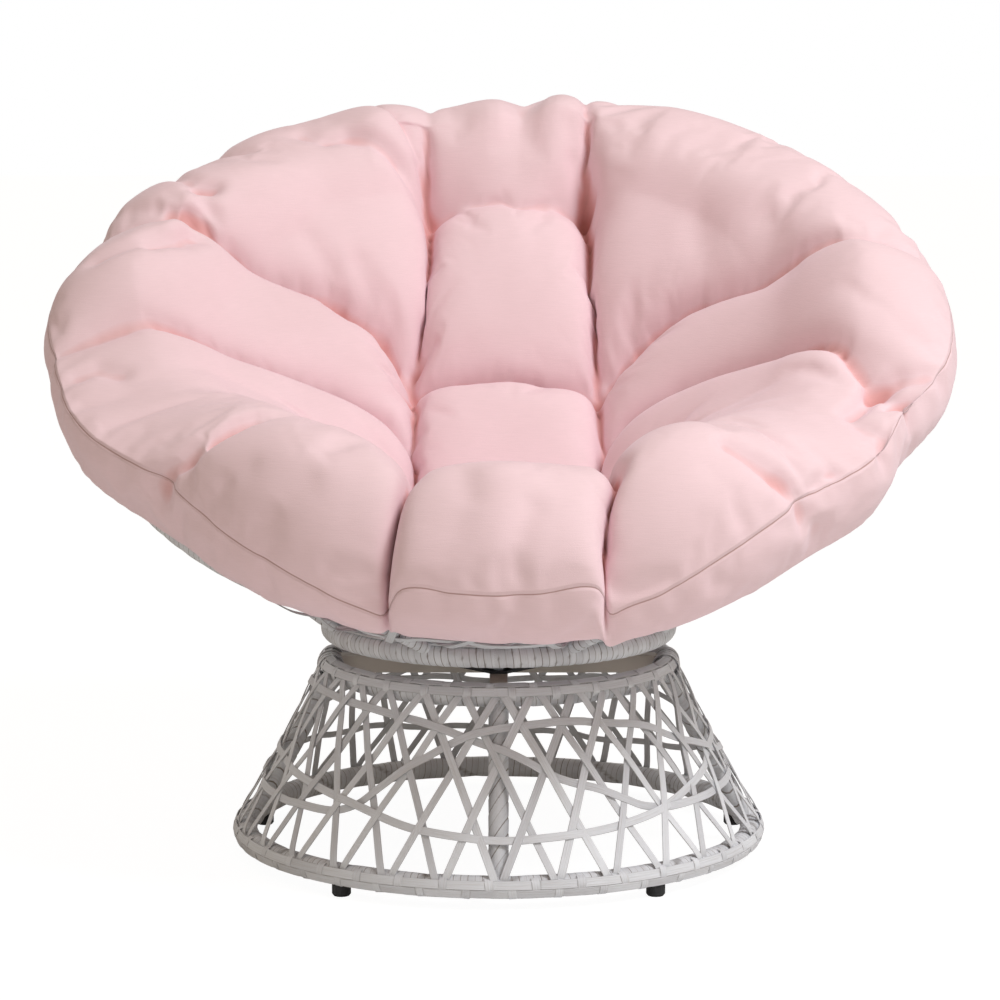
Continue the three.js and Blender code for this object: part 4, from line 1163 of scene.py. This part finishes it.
def finished(tree, **inputs):
    """The surface shader and the material's output. An underscore in an input's name stands for a space."""
    inputs = {key.replace("_", " "): value for key, value in inputs.items()}
    node(tree, "ShaderNodeOutputMaterial", {"Surface": node(tree, "ShaderNodeBsdfPrincipled", inputs)})


def blank_material(name):
    material = bpy.data.materials.new(name)
    material.use_nodes = True
    material.node_tree.nodes.clear()
    return material, material.node_tree


def wicker_material():
    """Flat resin strip, extruded and matt: a cool grey white, with painted shade in its joints and at its
    edges.
    """
    name = "extruded_resin_strip"
    if name in bpy.data.materials:
        return bpy.data.materials[name]
    material, tree = blank_material(name)
    tone, groove, across, along, wind = attributes(tree, "tone", "groove", "across", "along", "wind")
    strip = ramp(tree, tone, (0.0, "#CACDD3"), (1.0, "#DEE2E8"))
    spot = node(tree, "ShaderNodeCombineXYZ", {0: across, 1: along, 2: tone})
    lines = noise(tree, times(tree, spot, (6.0, 26.0, 40.0)), 1.0, 3.0)
    aged = tinted(tree, ranged(tree, lines, 0.45, 0.8, 0.0, 0.35), strip, "#A79C93")
    # Painted shade in the grooves between turns and where a border row dips under a turn
    groove_shade = tinted(tree, ranged(tree, groove, 0.6, 1.0, 0.0, 0.6), aged, "#5E554E")
    # Between two turns of the winding runs a dark line of painted shade, and how dark it is changes from
    # joint to joint
    off = sums(tree, "ABSOLUTE", sums(tree, "SUBTRACT", sums(tree, "FRACT", wind), 0.5))
    chance = node(tree, "ShaderNodeTexWhiteNoise", {"W": sums(tree, "ROUND", wind)}, noise_dimensions="1D")
    turn_gap_shade = sums(tree, "MULTIPLY", ranged(tree, off, 0.425, 0.475), ranged(tree, chance, 0.0, 1.0, 0.25, 1.0))
    # Painted shade along the edges of each strip and each turn
    rim = ranged(tree, sums(tree, "ABSOLUTE", across), 0.88, 1.0, 0.0, 0.42)
    wound = tinted(tree, sums(tree, "MAXIMUM", turn_gap_shade, rim), groove_shade, "#70675F")
    ribs = sums(tree, "SINE", sums(tree, "MULTIPLY", across, 11.0))
    finished(tree, Base_Color=wound, Normal=bumped(tree, ribs, 0.12, 0.0006), Roughness=0.58)
    return material


def woven_cloth():
    """Plain woven cotton blend, washed soft: matte pale pink with rows of weft, slubs and a stitched seam
    with painted shade along it.
    """
    material, tree = blank_material("woven_cotton_cloth")
    spot = node(tree, "ShaderNodeTexCoord", output="Object")
    past, hollow = attributes(tree, "seam", "hollow")
    dyed = ramp(tree, noise(tree, spot, 7.0, 3.0, 0.6), (0.3, "#EACED4"), (0.7, "#F0D4DB"))
    slubs = noise(tree, times(tree, spot, (60.0, 60.0, 1500.0)), 1.0, 2.0, 0.55)
    slubbed = times(tree, dyed, ranged(tree, slubs, 0.35, 0.65, 0.984, 1.012))
    # Light that has bounced between the walls of a crease is warmer, so the cloth is tinted there
    crease = times(tree, slubbed, ramp(tree, hollow, (0.15, "#FFFFFF"), (1.0, "#D2A097"), (0.55, "#F0D0C9")))
    # A thin darker line along the seam is painted shade in its groove
    away = sums(tree, "ABSOLUTE", past)
    sewn = tinted(tree, ranged(tree, away, 0.0003, 0.0011, 0.8, 0.0), crease, "#A87C74")
    threads = noise(tree, times(tree, spot, (1300.0, 260.0, 1300.0)), 1.0, 1.0)
    weave = bumped(tree, sums(tree, "ADD", threads, slubs), 0.35, 0.0004)
    stitched = bumped(tree, ranged(tree, away, 0.0, 0.004), 0.8, 0.0018, Normal=weave)
    finished(tree, Base_Color=sewn, Normal=stitched, Roughness=0.88, Sheen_Weight=0.25, Sheen_Roughness=0.45,
             Sheen_Tint=linear("#F3EEFF"))
    return material


def plain_finish(name, paint, grit, rough, metal):
    """A solid colour with a fine surface grit of a real size in mm."""
    if name in bpy.data.materials:
        return bpy.data.materials[name]
    material, tree = blank_material(name)
    spot = node(tree, "ShaderNodeTexCoord", output="Object")
    grain = noise(tree, spot, 1 / (grit * MM), 2.0)
    wear = ranged(tree, noise(tree, spot, 24.0, 3.0), 0.0, 1.0, rough - 0.06, rough + 0.06)
    finished(tree, Base_Color=linear(paint), Metallic=metal, Roughness=wear,
             Normal=bumped(tree, grain, 0.25, 0.0002))
    return material


# Finishes of the parts that stay as they are in the CAD, by a part of their names: the last that fits counts
FINISHES = {
    # Baked polyester powder on steel tube: cream, half matt, with a slight orange peel
    "_bar_": ("polyester_powder_coat", "#CFC8BF", 2.2, 0.48, 0.0),
    # Stoved black enamel on pressed steel: dark, with a soft sheen
    "swivel_": ("stoved_black_enamel", "#17171A", 1.5, 0.42, 0.0),
    # Bright zinc plate on turned steel: cool grey metal
    "_bolt_": ("zinc_plated_steel", "#A4A8AB", 0.8, 0.34, 1.0),
    "ball_cage": ("zinc_plated_steel", "#A4A8AB", 0.8, 0.34, 1.0),
    # Moulded black rubber: dull, with a faint grain from the mould
    "foot_": ("moulded_rubber", "#1B1B1C", 0.9, 0.72, 0.0),
}


class PAPASAN_OT_metal(Operator):
    """Finishes of the bars, the swivel, its bolts and the feet"""

    bl_idname = "papasan.metal"
    bl_label = "Metalwork and feet"

    def execute(self, context):
        for piece in bpy.data.objects:
            if piece.type != "MESH" or piece.name.startswith(("wrapped", "woven")):
                continue
            for part, finish in FINISHES.items():
                if part in piece.name:
                    coat(piece, plain_finish(*finish))
        return {"FINISHED"}


# Camera, lights and floor

# The photograph's camera: focal length in pixels of a picture 1000 px wide, place and downward turn
FOCAL = 3366.49
SENSOR = 36.0
EYE = 0.0015, -3.6445, 0.91613
DOWN = 0.145027
AIM = Vector((0, 0, 0.4))
DAYLIGHT = 0.97, 0.98, 1.0
WARM_ROOM = 1.0, 0.85, 0.67, 1.0
WHITE = 1.0, 1.0, 1.0, 1.0


class PAPASAN_OT_stage(Operator):
    """Floor, backdrop, lamps and the camera of the photograph"""

    bl_idname = "papasan.stage"
    bl_label = "Stage"

    def execute(self, context):
        scene = context.scene
        scene.view_settings.view_transform = "Standard"
        lens = bpy.data.cameras.new("camera")
        lens.sensor_width = SENSOR
        lens.lens = FOCAL / 1000 * SENSOR
        camera = bpy.data.objects.new("camera", lens)
        scene.collection.objects.link(camera)
        camera.location = (EYE[0], EYE[1] + AXIS_Y, EYE[2])
        camera.rotation_euler = (math.pi / 2 - DOWN, 0, 0)
        scene.camera = camera

        deselect()
        bpy.ops.mesh.primitive_plane_add(size=30, location=(0, 0, -0.0005))
        floor = bpy.context.active_object
        floor.name = "floor"
        floor.data.materials.append(pale_floor())

        world = bpy.data.worlds.new("studio")
        scene.world = world
        world.use_nodes = True
        tree = world.node_tree
        tree.nodes.clear()
        path = node(tree, "ShaderNodeLightPath").node.outputs
        seen = sums(tree, "MAXIMUM", path["Is Camera Ray"], path["Is Glossy Ray"])
        seen = sums(tree, "MAXIMUM", seen, path["Is Transmission Ray"])
        soft = node(tree, "ShaderNodeBackground", {"Color": WARM_ROOM, "Strength": 0.39})
        white = node(tree, "ShaderNodeBackground", {"Color": WHITE, "Strength": 1.0})
        both = node(tree, "ShaderNodeMixShader", {0: seen, 1: soft, 2: white})
        node(tree, "ShaderNodeOutputWorld", {"Surface": both})

        self.lamp("key", (1.7, -1.3, 2.9), 1.5, 77)
        self.lamp("fill", (-2.2, -2.4, 1.2), 2.2, 5)
        return {"FINISHED"}

    def lamp(self, name, place, size, power):
        light = bpy.data.lights.new(name, "AREA")
        light.shape = "DISK"
        light.size = size
        light.energy = power
        light.color = DAYLIGHT
        lamp = bpy.data.objects.new(name, light)
        bpy.context.scene.collection.objects.link(lamp)
        lamp.location = place
        lamp.rotation_euler = (AIM - Vector(place)).to_track_quat("-Z", "Y").to_euler()


def pale_floor():
    """Painted studio floor: white to the camera, with a faint soft shadow."""
    material, tree = blank_material("painted_floor")
    paint = node(tree, "ShaderNodeBsdfDiffuse", {"Color": linear("#F4F4F4")})
    glow = node(tree, "ShaderNodeEmission", {"Color": WHITE, "Strength": 1.12})
    seen = sums(tree, "MULTIPLY", node(tree, "ShaderNodeLightPath", output="Is Camera Ray"), 0.85)
    both = node(tree, "ShaderNodeMixShader", {0: seen, 1: paint, 2: glow})
    node(tree, "ShaderNodeOutputMaterial", {"Surface": both})
    return material


class PAPASAN_PT_panel(Panel):
    """Lists the chair's pieces"""

    bl_idname = "PAPASAN_PT_panel"
    bl_label = "Papasan chair"
    bl_space_type = "VIEW_3D"
    bl_region_type = "UI"
    bl_category = "Papasan"

    def draw(self, context):
        for operator in OPERATORS:
            self.layout.operator(operator.bl_idname)


OPERATORS = (PAPASAN_OT_stage, PAPASAN_OT_base, PAPASAN_OT_bowl, PAPASAN_OT_metal, PAPASAN_OT_cushion)
KINDS = (BaseSizes, CushionSizes, *OPERATORS, PAPASAN_PT_panel)


def register():
    for kind in KINDS:
        bpy.utils.register_class(kind)
    bpy.types.Scene.papasan_base = PointerProperty(type=BaseSizes)
    bpy.types.Scene.papasan_cushion = PointerProperty(type=CushionSizes)


def unregister():
    del bpy.types.Scene.papasan_cushion
    del bpy.types.Scene.papasan_base
    for kind in reversed(KINDS):
        bpy.utils.unregister_class(kind)


def main():
    register()
    bpy.ops.papasan.stage()
    bpy.ops.papasan.base()
    bpy.ops.papasan.bowl()
    bpy.ops.papasan.metal()
    bpy.ops.papasan.cushion()


if __name__ == "__main__":
    main()
